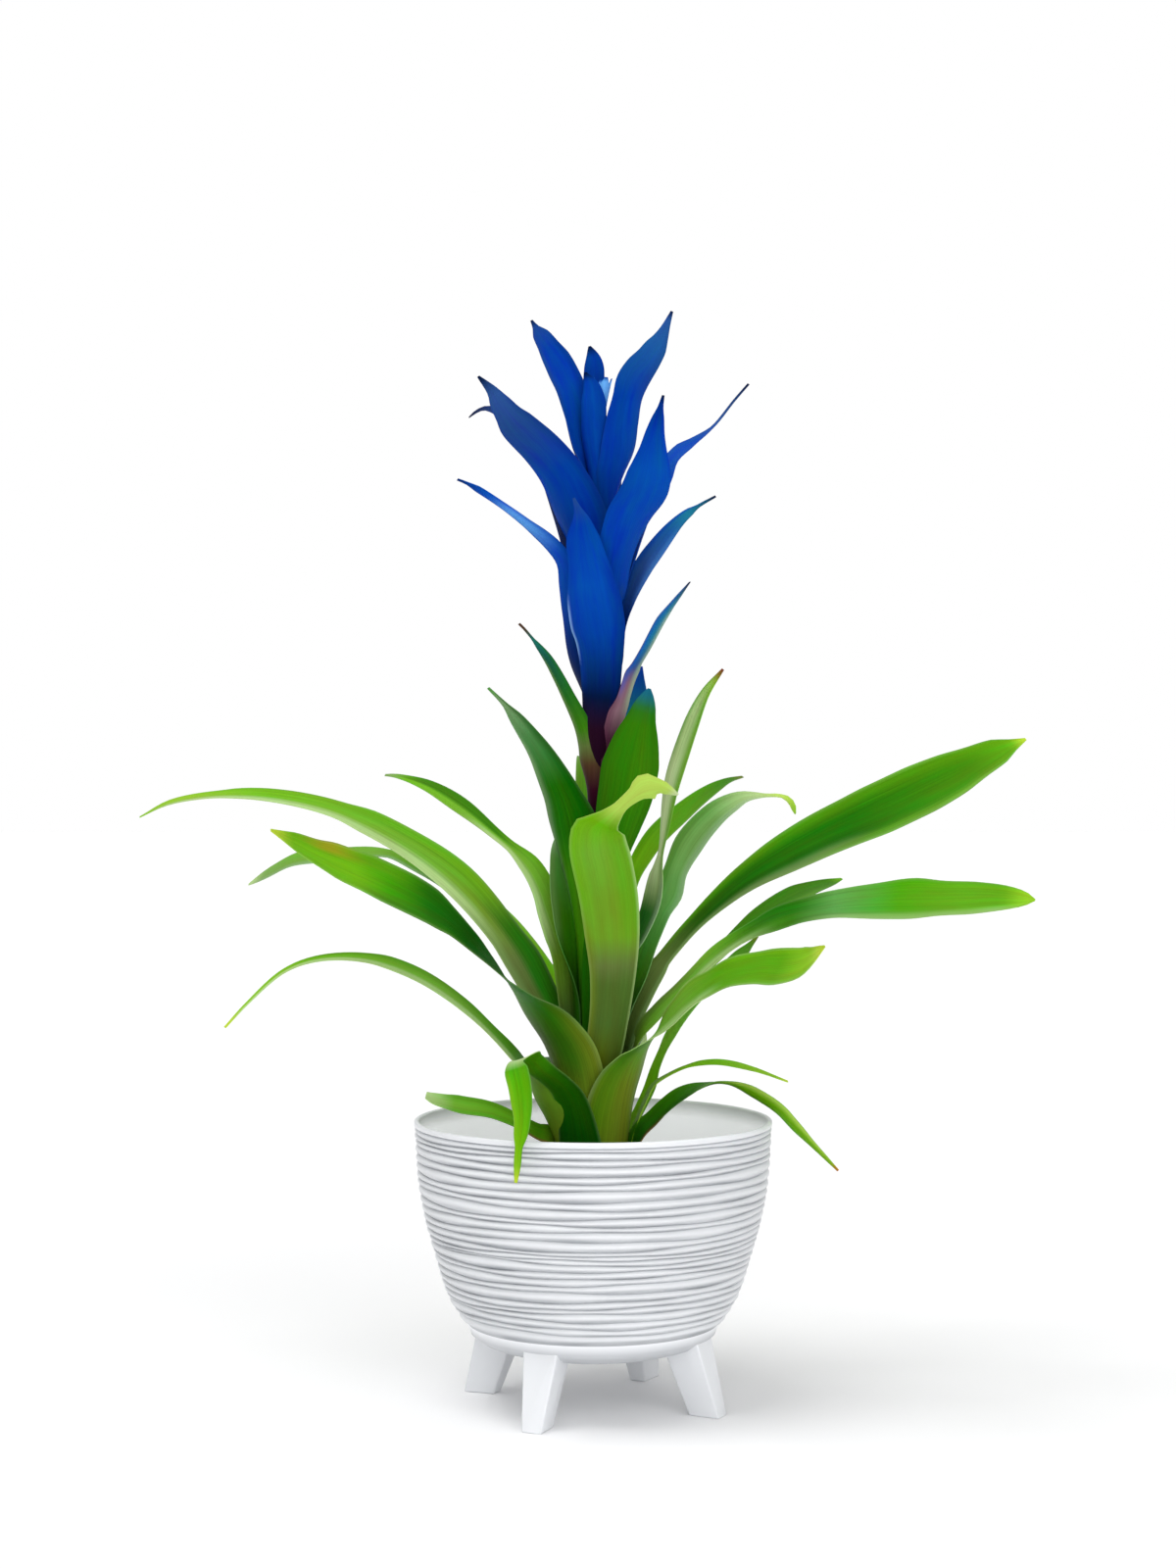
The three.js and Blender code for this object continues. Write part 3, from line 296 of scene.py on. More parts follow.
bladeGrain = makeBladeGrain(grainValues)
skinValues = {
    "leafTop": {"veins": 0.9, "blotches": 0.5, "gloss": 0.34, "shine": 0.14, "relief": 0.25, "glint": "lime"},
    "leafUnder": {"veins": 0.9, "blotches": 0.5, "gloss": 0.42, "shine": 0.1, "relief": 0.3, "glint": "lime"},
    "bractTop": {"veins": 0.6, "blotches": 0.4, "gloss": 0.45, "shine": 0.08, "relief": 0.2, "glint": "sky"},
    "bractUnder": {
        "veins": 0.6, "blotches": 0.4, "gloss": 0.48, "shine": 0.08, "relief": 0.2, "glint": "sky",
    },
}
skins = {
    name: makeBladeSkin(name, "topTint" if name.endswith("Top") else "underTint", values)
    for name, values in skinValues.items()
}

# The flower stalk's line, that the bracts stand round: x, y and height in millimetres
stalkValues = {
    "route": [(0, 0, 112.35), (0, 0, 200), (2, 0, 300), (5.5, 0, 380), (5, 0, 470), (4, 0, 540)],
    "radii": [5.2, 5.2, 5, 4.6, 3.6, 1.6], "sides": 24, "rings": 60,
    "tones": {0.2: "olive", 0.45: "moss", 0.62: "maroon", 0.74: "wine", 0.82: "navy", 1: "royal"},
    "veins": 0.35, "blotches": 0.4, "grainStretch": (60, 60, 10), "relief": 0.3,
}


def stalkAxis(height):
    route = stalkValues["route"]
    i = 0
    while i < len(route) - 2 and height > route[i + 1][2]:
        i += 1
    low, high = Vector(route[i]), Vector(route[i + 1])
    share = min(max((height - low.z) / (high.z - low.z), 0), 1)
    point = low.lerp(high, share)
    return Vector((point.x, point.y, 0))


# A point on the smooth line through the given points, by centripetal weights
def splinePoint(points, span, share):
    p1, p2 = points[span], points[span + 1]
    p0 = points[span - 1] if span > 0 else p1 * 2 - p2
    p3 = points[span + 2] if span + 2 < len(points) else p2 * 2 - p1
    d0, d1, d2 = [math.sqrt((b - a).length) for a, b in ((p0, p1), (p1, p2), (p2, p3))]
    m1 = ((p1 - p0) / d0 - (p2 - p0) / (d0 + d1) + (p2 - p1) / d1) * d1
    m2 = ((p2 - p1) / d1 - (p3 - p1) / (d1 + d2) + (p3 - p2) / d2) * d1
    s = share
    return (p1 * (2 * s ** 3 - 3 * s ** 2 + 1) + m1 * (s ** 3 - 2 * s ** 2 + s)
            + p2 * (3 * s ** 2 - 2 * s ** 3) + m2 * (s ** 3 - s ** 2))


# Evenly spaced points along the smooth line, and its whole length
def evenLine(points, steps):
    fine = 40
    dense = [splinePoint(points, span, k / fine) for span in range(len(points) - 1) for k in range(fine)]
    dense.append(points[-1])
    lengths = [0]
    for a, b in zip(dense, dense[1:]):
        lengths.append(lengths[-1] + (b - a).length)
    line = []
    k = 0
    for i in range(steps + 1):
        target = lengths[-1] * i / steps
        while k < len(dense) - 2 and lengths[k + 1] < target:
            k += 1
        share = (target - lengths[k]) / max(lengths[k + 1] - lengths[k], 1e-9)
        line.append(dense[k].lerp(dense[k + 1], min(share, 1)))
    return line, lengths[-1]


# What all the blades share, in millimetres, degrees and shares of a blade's length or half width
bladeValues = {
    "leafSteps": 84, "bractSteps": 56, "across": 14, "leastCurl": 16, "widestWrap": 62, "clearance": 3,
    "sameLevel": 20, "thickest": 1.3, "sheath": 0.75, "edge": 0.45, "edgeCurve": 1.5, "sheathReach": 13,
    "sheathFade": 12, "thinFrom": 0.75, "rippleFrom": 0.25, "rippleFull": 0.5, "bandFade": 0.05,
    "veins": 0.5, "mapWidth": 10, "mapLength": 100, "sharpTurn": 55, "leafTip": 0.8, "bractTip": 0.7,
}
flat = {0: 0, 1: 0}


# How far each way, in degrees, a sheath wraps before it meets its neighbour at the same reach
def wrapFor(blade, blades):
    reach, level = blade["midrib"][0][:2]
    widest = bladeValues["widestWrap"]
    for other in blades:
        otherReach, otherLevel = other["midrib"][0][:2]
        if other is blade or otherReach != reach or abs(otherLevel - level) >= bladeValues["sameLevel"]:
            continue
        turn = abs(blade["azimuth"] - other["azimuth"]) % 360
        widest = min(widest, min(turn, 360 - turn) / 2 - bladeValues["clearance"])
    return widest


# The blade's cross-sections from base to tip, and its length
def bladeRows(blade, blades, steps, onStalk):
    azimuth = math.radians(blade["azimuth"])
    out = Vector((math.cos(azimuth), math.sin(azimuth), 0))
    aside = Vector((-math.sin(azimuth), math.cos(azimuth), 0))
    points = []
    for reach, height, *shift in blade["midrib"]:
        axis = stalkAxis(height) if onStalk else Vector((0, 0, 0))
        points.append(axis + Vector((0, 0, height)) + out * reach + aside * (shift[0] if shift else 0))
    line, length = evenLine(points, steps)
    baseReach = blade["midrib"][0][0]
    wrap = math.radians(blade.get("wrap", wrapFor(blade, blades)))
    widths = {0: baseReach * wrap, **blade["halfWidth"]}
    widths.setdefault(1, bladeValues["bractTip" if onStalk else "leafTip"])
    leastCurl = math.radians(bladeValues["leastCurl"])
    rows = []
    side = aside.copy()
    for i, centre in enumerate(line):
        t = i / steps
        along = (line[min(i + 1, steps)] - line[max(i - 1, 0)]).normalized()
        side = (side - along * side.dot(along)).normalized()
        roll = math.radians(smoothValue(blade.get("roll", flat), t))
        turned = side * math.cos(roll) + along.cross(side) * math.sin(roll)
        axis = stalkAxis(centre.z) if onStalk else Vector((0, 0, 0))
        reach = (Vector((centre.x, centre.y, 0)) - axis).length
        half = min(smoothValue(widths, t), reach * wrap)
        bend = max(half / max(reach, baseReach), leastCurl)
        rows.append({"t": t, "centre": centre, "side": turned, "up": along.cross(turned), "half": half,
                     "bend": bend, "reach": reach, "skew": smoothValue(blade.get("skew", flat), t)})
    return rows, length


# The point at u across a row, from -1 to 1: the row is an arc, and its edges may ripple
def bladePoint(row, u, wave):
    size, count, start = wave
    across = u * (1 + row["skew"] * math.copysign(1, u))
    radius = row["half"] / row["bend"]
    angle = across * row["bend"]
    ripple = size * abs(u) ** 2 * math.sin(2 * math.pi * (count * row["t"] + start) + u)
    ripple *= smoothStep(bladeValues["rippleFrom"], bladeValues["rippleFull"], row["t"])
    point = row["centre"] + row["side"] * radius * math.sin(angle)
    return point + row["up"] * (radius * (1 - math.cos(angle)) + ripple)


# How thick the blade is at a place, as a share of the thickest: thin in its sheath, at its edges and its tip
def thicknessAt(row, u):
    thickest, edge, sheath = bladeValues["thickest"], bladeValues["edge"], bladeValues["sheath"]
    free = min(max((row["reach"] - bladeValues["sheathReach"]) / bladeValues["sheathFade"], 0), 1)
    middle = sheath + (thickest - sheath) * free
    middle += (edge - middle) * smoothStep(bladeValues["thinFrom"], 1, row["t"])
    return (middle + (edge - middle) * abs(u) ** bladeValues["edgeCurve"]) / thickest


# The tone of one face at t along the blade and u across it: its bands, then its margin, then its tip
def faceTone(coat, face, t, u):
    tone = toneAlong(coat[face], t)
    fade = bladeValues["bandFade"]
    for low, high, band, share, *span in coat.get(face + "Bands", ()):
        start, end = span or (-1, 2)
        share *= smoothStep(start - fade, start + fade, t) * smoothStep(end + fade, end - fade, t)
        tone = tone.lerp(linearTone(band), share * smoothStep(low, high, u))
    margin = smoothStep(1 - coat["marginWidth"], 1, abs(u)) * coat["marginShare"]
    tone = tone.lerp(linearTone(coat["margin"]), margin)
    return tone.lerp(linearTone(coat["tip"]), smoothStep(coat["tipFrom"], 1, t))


def growBlade(blade, blades, skinPair, onStalk):
    steps = bladeValues["bractSteps" if onStalk else "leafSteps"]
    rows, length = bladeRows(blade, blades, steps, onStalk)
    bpy.ops.object.select_all(action="DESELECT")
    bpy.ops.mesh.primitive_grid_add(x_subdivisions=bladeValues["across"], y_subdivisions=steps, size=2)
    piece = bpy.context.object
    piece.name = blade["node"].replace("_leaf", "_blade").replace("_bract", "_blade_bract")
    mesh = piece.data
    coat = {"veins": bladeValues["veins"], **coats[blade["coat"]], **blade}
    widest = max(row["half"] for row in rows)
    seed = sum(ord(letter) for letter in blade["node"])
    places, weights, maps, tints = [], [], [], {"top": [], "under": []}
    for vertex in mesh.vertices:
        u = -vertex.co.x
        row = rows[round((vertex.co.y + 1) / 2 * steps)]
        places.append(bladePoint(row, u, blade.get("wave", (0, 1, 0))) * mm)
        weights.append(thicknessAt(row, u))
        for face, found in tints.items():
            found.append((*faceTone(coat, face, row["t"], u), coat["veins"]))
        maps.append((u * widest / bladeValues["mapWidth"],
                     row["t"] * length / bladeValues["mapLength"], seed))
    for vertex, place in zip(mesh.vertices, places):
        vertex.co = place
    thickness = piece.vertex_groups.new(name="thickness")
    for k, weight in enumerate(weights):
        thickness.add([k], weight, "REPLACE")
    for name, kind, key, found in (
            ("topTint", "FLOAT_COLOR", "color", tints["top"]),
            ("underTint", "FLOAT_COLOR", "color", tints["under"]),
            ("bladeMap", "FLOAT_VECTOR", "vector", maps)):
        made = mesh.attributes.new(name, kind, "POINT")
        made.data.foreach_set(key, [part for value in found for part in value])
    for name in skinPair:
        mesh.materials.append(skins[name])
    solid = piece.modifiers.new("leafThickness", "SOLIDIFY")
    solid.thickness = bladeValues["thickest"] * mm
    solid.offset = 0
    solid.vertex_group = "thickness"
    solid.material_offset = 1
    bpy.ops.object.modifier_apply(modifier="leafThickness")
    bpy.ops.object.shade_smooth_by_angle(angle=math.radians(bladeValues["sharpTurn"]))
    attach(piece, body)
    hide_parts(blade["node"])
    return piece


# Each coat gives tones along a blade from base to tip, for its upper face and its underside, and the tones
# and widths of its margin and tip. A blade may give its own instead.
coats = {
    "midGreen": {
        "top": {0: "olive", 0.2: "dark", 0.55: "mid", 1: "bright"},
        "under": {0: "olive", 0.3: "silver", 1: "pale"},
        "margin": "pale", "marginWidth": 0.07, "marginShare": 0.18, "tip": "lime", "tipFrom": 0.95,
    },
    "darkGreen": {
        "top": {0: "olive", 0.3: "deep", 0.7: "dark", 1: "mid"},
        "under": {0: "olive", 0.3: "mid", 1: "silver"},
        "margin": "silver", "marginWidth": 0.06, "marginShare": 0.14, "tip": "bright", "tipFrom": 0.96,
    },
    "paleGreen": {
        "top": {0: "olive", 0.3: "mid", 0.7: "bright", 1: "lime"},
        "under": {0: "silver", 0.5: "pale", 1: "pale"},
        "margin": "pale", "marginWidth": 0.08, "marginShare": 0.22, "tip": "yellow", "tipFrom": 0.95,
    },
    "yellowGreen": {
        "top": {0: "olive", 0.3: "mid", 0.6: "lime", 1: "yellow"},
        "under": {0: "olive", 0.4: "lime", 0.75: "lime", 1: "yellow"},
        "margin": "yellow", "marginWidth": 0.07, "marginShare": 0.22, "tip": "yellow", "tipFrom": 0.95,
    },
    "teal": {
        "top": {0: "olive", 0.4: "pine", 0.75: "pine", 1: "teal"},
        "under": {0: "olive", 0.4: "pine", 1: "teal"},
        "margin": "silver", "marginWidth": 0.05, "marginShare": 0.11, "tip": "tealBlue", "tipFrom": 0.9,
    },
    "blue": {
        "top": {0: "night", 0.2: "navy", 0.5: "royal", 1: "blue"},
        "under": {0: "night", 0.2: "navy", 0.5: "royal", 1: "blue"},
        "margin": "sky", "marginWidth": 0.04, "marginShare": 0.09, "tip": "night", "tipFrom": 0.96,
    },
    "navy": {
        "top": {0: "navy", 0.5: "navy", 1: "royal"},
        "under": {0: "navy", 0.5: "navy", 1: "navy"},
        "margin": "royal", "marginWidth": 0.05, "marginShare": 0.11, "tip": "night", "tipFrom": 0.92,
    },
    "skyBlue": {
        "top": {0: "navy", 0.5: "blue", 1: "sky"},
        "under": {0: "navy", 0.4: "blue", 0.7: "sky", 1: "sky"},
        "margin": "ice", "marginWidth": 0.06, "marginShare": 0.14, "tip": "night", "tipFrom": 0.96,
    },
    "petal": {
        "top": {0: "royal", 0.4: "sky", 1: "aqua"},
        "under": {0: "royal", 0.3: "sky", 0.7: "aqua", 1: "aqua"},
        "margin": "sky", "marginWidth": 0.15, "marginShare": 0.5, "tip": "blue", "tipFrom": 0.9,
    },
    "mauve": {
        "top": {0: "maroon", 0.4: "plum", 0.7: "slate", 1: "steel"},
        "under": {0: "maroon", 0.35: "mauve", 0.65: "slate", 1: "tealBlue"},
        "margin": "mauve", "marginWidth": 0.08, "marginShare": 0.14, "tip": "night", "tipFrom": 0.96,
    },
}

# Each midrib is a list of (reach from the stalk's axis, height, sideways shift), in millimetres, from base to
# tip. halfWidth, roll, skew and the tones of a face are {share of the length: value}. A band lies across a
# face as (from, to, tone, share), and first and last shares of the length may follow. Some bands are the
# blade's own stripes, and some are painted shade and painted sheen across a blade's curve.
leafBase = 112.4

leaves = [
    # Its underside's pale silver band along one edge is a painted highlight, and its dark bottle band over
    # the other half is painted shade
    {"node": "tall_left_leaf", "coat": "darkGreen", "azimuth": -140,
     "midrib": [(6.7, leafBase), (7.4, 200), (8.6, 250), (12, 292), (17, 319), (22, 336), (30, 351),
         (37, 364, -2), (45, 375, -4), (57, 389, -6), (68, 399, -8)],
     "halfWidth": {0.3: 8, 0.6: 16, 0.69: 17, 0.75: 12.5, 0.8: 10, 0.85: 7.5, 0.92: 4.5, 0.96: 1.5},
     "roll": {0: 0, 0.45: 0, 0.65: 25, 1: 25},
     "under": {0: "bottle", 0.38: "forest", 0.48: "leaf", 0.6: "leaf", 0.68: "deep", 0.78: "deep",
         0.88: "sea", 1: "silver"},
     "underBands": [(-0.45, -0.95, "silver", 0.6, 0.5, 0.9), (0.1, 0.9, "bottle", 0.75)],
     "marginShare": 0.11, "tip": "jade", "veins": 0.9},
    {"node": "back_tall_leaf", "coat": "teal", "azimuth": 70,
     "midrib": [(6.7, leafBase), (7.6, 200), (12, 296), (16, 324, -1), (21, 351, -5), (28, 375, -10),
         (34, 395, -14), (39, 413, -15)],
     "halfWidth": {0.3: 8, 0.6: 8.5, 0.7: 10.5, 0.79: 11, 0.87: 9.5, 0.94: 6.5, 0.975: 3},
     "top": {0: "forest", 0.6: "jungle", 0.85: "lagoon", 1: "tealBlue"}, "tip": "royal", "veins": 0.6},
    {"node": "thin_upright_leaf", "coat": "paleGreen", "azimuth": -10,
     "midrib": [(9.5, leafBase), (11, 185), (14, 228), (20, 248), (28, 264), (34, 280), (37, 300),
         (40.5, 320), (44.5, 344), (51, 366), (59, 388), (64, 398), (73, 410)],
     "halfWidth": {0.3: 9, 0.43: 9, 0.5: 9, 0.56: 10, 0.6: 8, 0.62: 5, 0.65: 2.5, 0.69: 4, 0.73: 5.5, 0.8: 7,
         0.88: 6, 0.95: 3.25}, "roll": {0: 0, 0.35: 0, 0.5: 35, 0.6: 40, 1: 60},
     "top": {0: "forest", 0.46: "jungle", 0.54: "jungle", 0.6: "sage", 0.7: "fern", 0.92: "fern", 1: "lime"},
     "topBands": [(-0.9, 0.1, "pale", 0.9, 0.58, 0.95), (0.5, 1, "leaf", 0.7, 0.62, 1),
         (-0.6, 0.3, "cream", 0.6, 0.6, 0.82), (-0.2, -0.9, "frost", 0.5, 0.45, 0.6)],
     "marginShare": 0.13, "tip": "redTip", "tipFrom": 0.965, "veins": 1.1},
    {"node": "blue_tipped_leaf", "coat": "darkGreen", "azimuth": -80,
     "midrib": [(8.1, leafBase), (9.2, 200), (10.5, 255), (13, 290, 6), (15, 306, 8), (18, 322, 11),
         (22, 340, 15), (25, 355, 17), (28, 374, 20), (29.5, 391, 24), (30, 399, 26)],
     "halfWidth": {0.3: 8, 0.54: 7.5, 0.61: 8.5, 0.67: 10, 0.73: 14, 0.79: 16.5, 0.84: 17, 0.875: 15,
         0.91: 12, 0.94: 8.5, 0.97: 6, 0.99: 3},
     "under": {0: "bottle", 0.5: "deep", 0.68: "dark", 0.93: "dark", 0.97: "jungle", 1: "teal"},
     "underBands": [(0.45, 1, "deep", 0.8), (-0.5, -1, "forest", 0.5),
         (-0.35, 0.25, "leaf", 0.35, 0.6, 0.9)],
     "margin": "forest", "marginShare": 0.18, "tip": "tealBlue", "tipFrom": 0.955, "veins": 0.8},
    {"node": "inner_left_leaf", "coat": "teal", "azimuth": 175,
     "midrib": [(8.1, leafBase), (9.2, 200), (12, 245), (14.5, 269), (17, 288), (18, 300), (18.5, 310),
         (17, 325)], "halfWidth": {0.3: 9, 0.74: 10.5, 0.82: 9.5, 0.875: 8, 0.925: 6.25, 0.965: 3.5},
     "roll": {0: 0, 0.5: 0, 0.75: -60, 1: -60},
     "top": {0: "forest", 0.5: "forest", 0.75: "dark", 1: "jade"},
     "topBands": [(0.2, 0.9, "sage", 0.5, 0.7, 1)], "under": {0: "bottle", 0.6: "forest", 1: "dark"},
     "tip": "frost", "veins": 0.7},
    {"node": "back_high_leaf", "coat": "midGreen", "azimuth": 90,
     "midrib": [(9.5, leafBase), (11.2, 200), (19, 260), (38, 320), (70, 357), (112, 357), (145, 329)],
     "halfWidth": {0.3: 9, 0.6: 10.5, 0.85: 9}, "top": {0: "forest", 0.5: "leaf", 1: "fern"}},
    {"node": "back_right_short_leaf", "coat": "midGreen", "azimuth": 55,
     "midrib": [(8.1, leafBase), (9.2, 200), (18, 250), (29, 275), (39, 293), (60, 313), (91, 329),
         (116, 339.5), (140, 347), (158, 349.5)],
     "halfWidth": {0.3: 8, 0.52: 6, 0.58: 5, 0.63: 6, 0.72: 6.75, 0.83: 5.5, 0.9: 4, 0.94: 2.5},
     "roll": {0: 0, 0.4: 0, 0.7: 30, 1: 30},
     "top": {0: "forest", 0.5: "mid", 0.62: "bright", 0.75: "mid", 0.92: "leaf", 1: "dark"},
     "topBands": [(0.1, 0.9, "grass", 0.6, 0.6, 0.9)], "tip": "moss", "veins": 0.7},
    {"node": "upper_left_leaf", "coat": "midGreen", "azimuth": 160,
     "midrib": [(9.5, leafBase), (10.8, 170), (14, 215), (17, 252), (24, 273), (37, 299), (61, 319.5),
         (81, 334), (101, 345), (120, 350.5), (127, 351)],
     "halfWidth": {0.25: 12, 0.44: 13, 0.5: 11, 0.55: 9.5, 0.59: 7.5, 0.65: 6.5, 0.71: 3.5, 0.75: 4, 0.84: 6,
         0.91: 4.5, 0.95: 2.75}, "roll": {0: 0, 0.2: 0, 0.45: -50, 1: -35},
     "top": {0: "bottle", 0.28: "dark", 0.36: "greyGreen", 0.46: "fresh", 0.6: "fern", 0.8: "fern",
         1: "bright"},
     "topBands": [(0.1, -0.7, "dark", 0.8, 0.1, 0.42), (0.3, -0.1, "dark", 0.9, 0.7, 0.96),
         (0.0, -0.9, "mid", 0.6, 0.5, 0.72), (0.2, 0.8, "pale", 0.8, 0.5, 0.78)],
     "marginShare": 0.13, "tip": "sage", "veins": 1},
    {"node": "centre_front_leaf", "coat": "yellowGreen", "azimuth": -88,
     "midrib": [(9.5, leafBase), (11.5, 150), (16, 178), (22, 204, 6), (25, 240, 10), (28, 266, 9.5),
         (30, 285, 7.5), (32.5, 300, 4.5), (35, 313, 1.5), (38, 321.5, 2), (44, 329, 8), (53, 338, 17),
         (60, 344.5, 27), (61, 345, 34), (60, 343, 38.5), (57, 341, 43.5)],
     "halfWidth": {0.2: 10, 0.375: 11, 0.475: 13, 0.57: 16, 0.64: 17, 0.7: 17.25, 0.78: 15, 0.8: 9.5,
         0.825: 6.25, 0.86: 4, 0.9: 5, 0.935: 10, 0.955: 5.5, 0.975: 3.5},
     "under": {0: "olive", 0.3: "olive", 0.38: "greyGreen", 0.46: "greyGreen", 0.5: "ash", 0.56: "fresh",
         0.64: "fresh", 0.74: "fern", 0.8: "bright", 0.85: "paleLime", 1: "paleLime"},
     "underBands": [(-0.35, -1, "bright", 0.7, 0.62, 0.82), (0.05, 0.5, "mid", 0.55, 0.56, 0.82),
         (-0.1, 0.4, "greyGreen", 0.5, 0.28, 0.5), (-0.5, -1, "khaki", 0.6, 0.2, 0.6),
         (0.92, 1, "pale", 0.55, 0.3, 0.84)],
     "margin": "pale", "marginWidth": 0.05, "marginShare": 0.18, "tip": "cream", "tipFrom": 0.97,
         "veins": 0.4},
    # The frost band on one side of its outer part is a painted sheen
    {"node": "curl_right_leaf", "coat": "midGreen", "azimuth": 14,
     "midrib": [(11, leafBase), (13.2, 170), (18.5, 212), (25, 235), (31, 255), (38.5, 273.5), (44.5, 285),
         (48, 296.5), (57.5, 314), (71.5, 329), (80.5, 335), (88, 338.5), (102.5, 339.5), (110.5, 339),
         (115, 336), (118.5, 329)],
     "halfWidth": {0.25: 10, 0.43: 10.5, 0.51: 7.75, 0.58: 7.25, 0.62: 9, 0.665: 8, 0.735: 10.5, 0.77: 10.25,
         0.805: 9.5, 0.845: 7.75, 0.87: 5.5, 0.9: 3, 0.925: 1.5, 0.955: 1.75, 0.97: 4, 0.985: 4.5},
     "roll": {0: 0, 0.3: 0, 0.6: 45, 0.8: 35, 1: 35},
     "top": {0: "forest", 0.35: "forest", 0.45: "leaf", 0.56: "jade", 0.68: "mint", 0.8: "mint", 0.9: "pale",
         0.95: "paleLime", 1: "yellow"},
     "topBands": [(0.1, 0.9, "leaf", 0.6, 0.5, 0.85), (-0.3, -0.9, "frost", 0.5, 0.6, 0.9)],
     "margin": "frost", "marginShare": 0.22, "veins": 0.7},
    # The silver band on its outer part is a painted sheen
    {"node": "far_left_leaf", "coat": "darkGreen", "azimuth": 147,
     "midrib": [(15.7, leafBase), (18.5, 160), (27, 200), (42, 233), (75.5, 267.5), (101, 286.5),
         (122, 296.5), (141, 304), (162, 304), (183, 302.5), (212, 299.5), (231, 292), (249, 284)],
     "halfWidth": {0.25: 7, 0.35: 6, 0.48: 9, 0.57: 5, 0.69: 4, 0.75: 7, 0.86: 7.5, 0.92: 7, 0.95: 6,
         0.975: 4}, "roll": {0: 0, 0.45: 0, 0.7: -28, 1: -42},
     "top": {0: "forest", 0.4: "dark", 0.6: "leaf", 0.72: "fern", 0.9: "fern", 1: "sage"},
     "topBands": [(0.2, 0.9, "silver", 0.55, 0.6, 1)],
     "margin": "frost", "marginShare": 0.22, "tip": "pale", "veins": 0.7},
    {"node": "broad_right_leaf", "coat": "darkGreen", "azimuth": 20,
     "midrib": [(12.5, leafBase), (15, 165), (20, 205), (28.5, 226), (36, 239), (48.5, 254), (59, 265),
         (74.5, 278.5), (94, 292.5), (134, 313), (177, 330.5), (219, 348.5), (253, 364), (272.5, 372)],
     "halfWidth": {0.2: 8, 0.29: 8.5, 0.325: 8, 0.35: 5.25, 0.41: 5.5, 0.46: 7, 0.52: 9.5, 0.575: 12.5,
         0.63: 14.5, 0.69: 16, 0.745: 17.25, 0.8: 17.25, 0.86: 15.5, 0.91: 11.75, 0.95: 9, 0.975: 4.5},
     "roll": {0: 0, 0.12: 0, 0.25: 30, 0.4: 35, 0.6: 50, 1: 52},
     "top": {0: "forest", 0.2: "greyGreen", 0.34: "ash", 0.42: "forest", 0.55: "deep", 0.7: "deep",
         0.9: "leaf", 0.97: "mid", 1: "lime"},
     "topBands": [(-0.45, -0.8, "sage", 0.9, 0.15, 0.68), (-0.6, -0.95, "fern", 0.7, 0.62, 0.95),
         (0.3, 1, "mid", 0.7, 0.36, 0.98), (-0.1, -0.4, "bottle", 0.35, 0.4, 0.7)],
     "margin": "pale", "marginWidth": 0.04, "marginShare": 0.16, "tip": "yellow", "tipFrom": 0.98,
         "veins": 1},
    {"node": "long_left_leaf", "coat": "midGreen", "azimuth": 172,
     "midrib": [(12.5, leafBase), (15, 165), (21, 208), (31, 227), (41, 246), (51.5, 262), (77, 291),
         (108, 313), (147, 331), (185.5, 339), (216.5, 339.5), (244, 335), (261.5, 327)],
     "halfWidth": {0.2: 12, 0.3: 14, 0.35: 15, 0.4: 13, 0.5: 14, 0.6: 12, 0.65: 11.5, 0.7: 8.5, 0.8: 7.5,
         0.85: 6.5, 0.88: 5, 0.95: 4.25}, "roll": {0: 0, 0.12: 0, 0.28: -32, 0.5: -35, 1: -20},
     "top": {0: "forest", 0.22: "greyGreen", 0.36: "ash", 0.46: "fresh", 0.6: "fern", 0.8: "bright",
         0.92: "lime", 1: "lime"},
     "topBands": [(0.1, 0.7, "pale", 0.85, 0.42, 0.98), (0.15, -0.35, "deep", 0.92, 0.12, 0.44),
         (0.0, -0.7, "mid", 0.75, 0.45, 0.7), (-0.3, -0.9, "mid", 0.5, 0.7, 0.9),
         (0.3, 0.9, "sage", 0.6, 0.2, 0.46)], "margin": "cream", "marginShare": 0.11, "veins": 0.9},
    {"node": "back_arch_leaf", "coat": "midGreen", "azimuth": 83,
     "midrib": [(12.5, leafBase), (15, 165), (22, 215), (46, 265), (84, 296), (122, 292), (150, 262)],
     "halfWidth": {0.2: 11, 0.5: 15, 0.8: 12}, "top": {0: "forest", 0.5: "leaf", 1: "fern"}},
    {"node": "inner_level_right_leaf", "coat": "darkGreen", "azimuth": 42,
     "midrib": [(14.1, leafBase), (17, 162), (24, 190), (34, 204.5), (61, 223), (96, 245), (133, 267),
         (165, 279.5), (203.5, 287.5)],
     "halfWidth": {0.2: 6, 0.33: 4, 0.45: 5.25, 0.6: 4.75, 0.69: 6, 0.75: 7.25, 0.86: 8, 0.91: 6.25,
         0.96: 4}, "roll": {0: 0, 0.4: 15, 1: 25},
     "top": {0: "forest", 0.5: "dark", 0.7: "leaf", 1: "leaf"},
     "topBands": [(-0.2, -0.9, "fern", 0.5, 0.4, 0.95)], "veins": 0.8},
    {"node": "twisted_left_leaf", "coat": "midGreen", "azimuth": -137, "wrap": 72,
     "midrib": [(14.1, leafBase), (16.5, 150), (21, 182), (26.5, 198), (34, 209.5), (47, 226), (59, 236),
         (71, 246), (89.5, 262), (115, 280), (153, 296.5), (192, 311), (222.5, 324.5)],
     "halfWidth": {0.1: 19, 0.2: 21.5, 0.26: 22, 0.35: 20, 0.41: 14, 0.46: 9, 0.5: 8, 0.545: 8, 0.6: 10,
         0.645: 13, 0.72: 14, 0.77: 14, 0.82: 12.75, 0.86: 12, 0.9: 9.25, 0.945: 6.75, 0.975: 3.5},
     "skew": {0: 0.12, 0.3: 0.08, 0.4: 0, 1: 0}, "roll": {0: 0, 0.32: 0, 0.42: -18, 0.49: -42, 0.57: -62,
         1: -55},
     "top": {0: "forest", 0.46: "bottle", 0.56: "bottle", 0.66: "deep", 0.75: "grass", 0.82: "bright",
         1: "bright"},
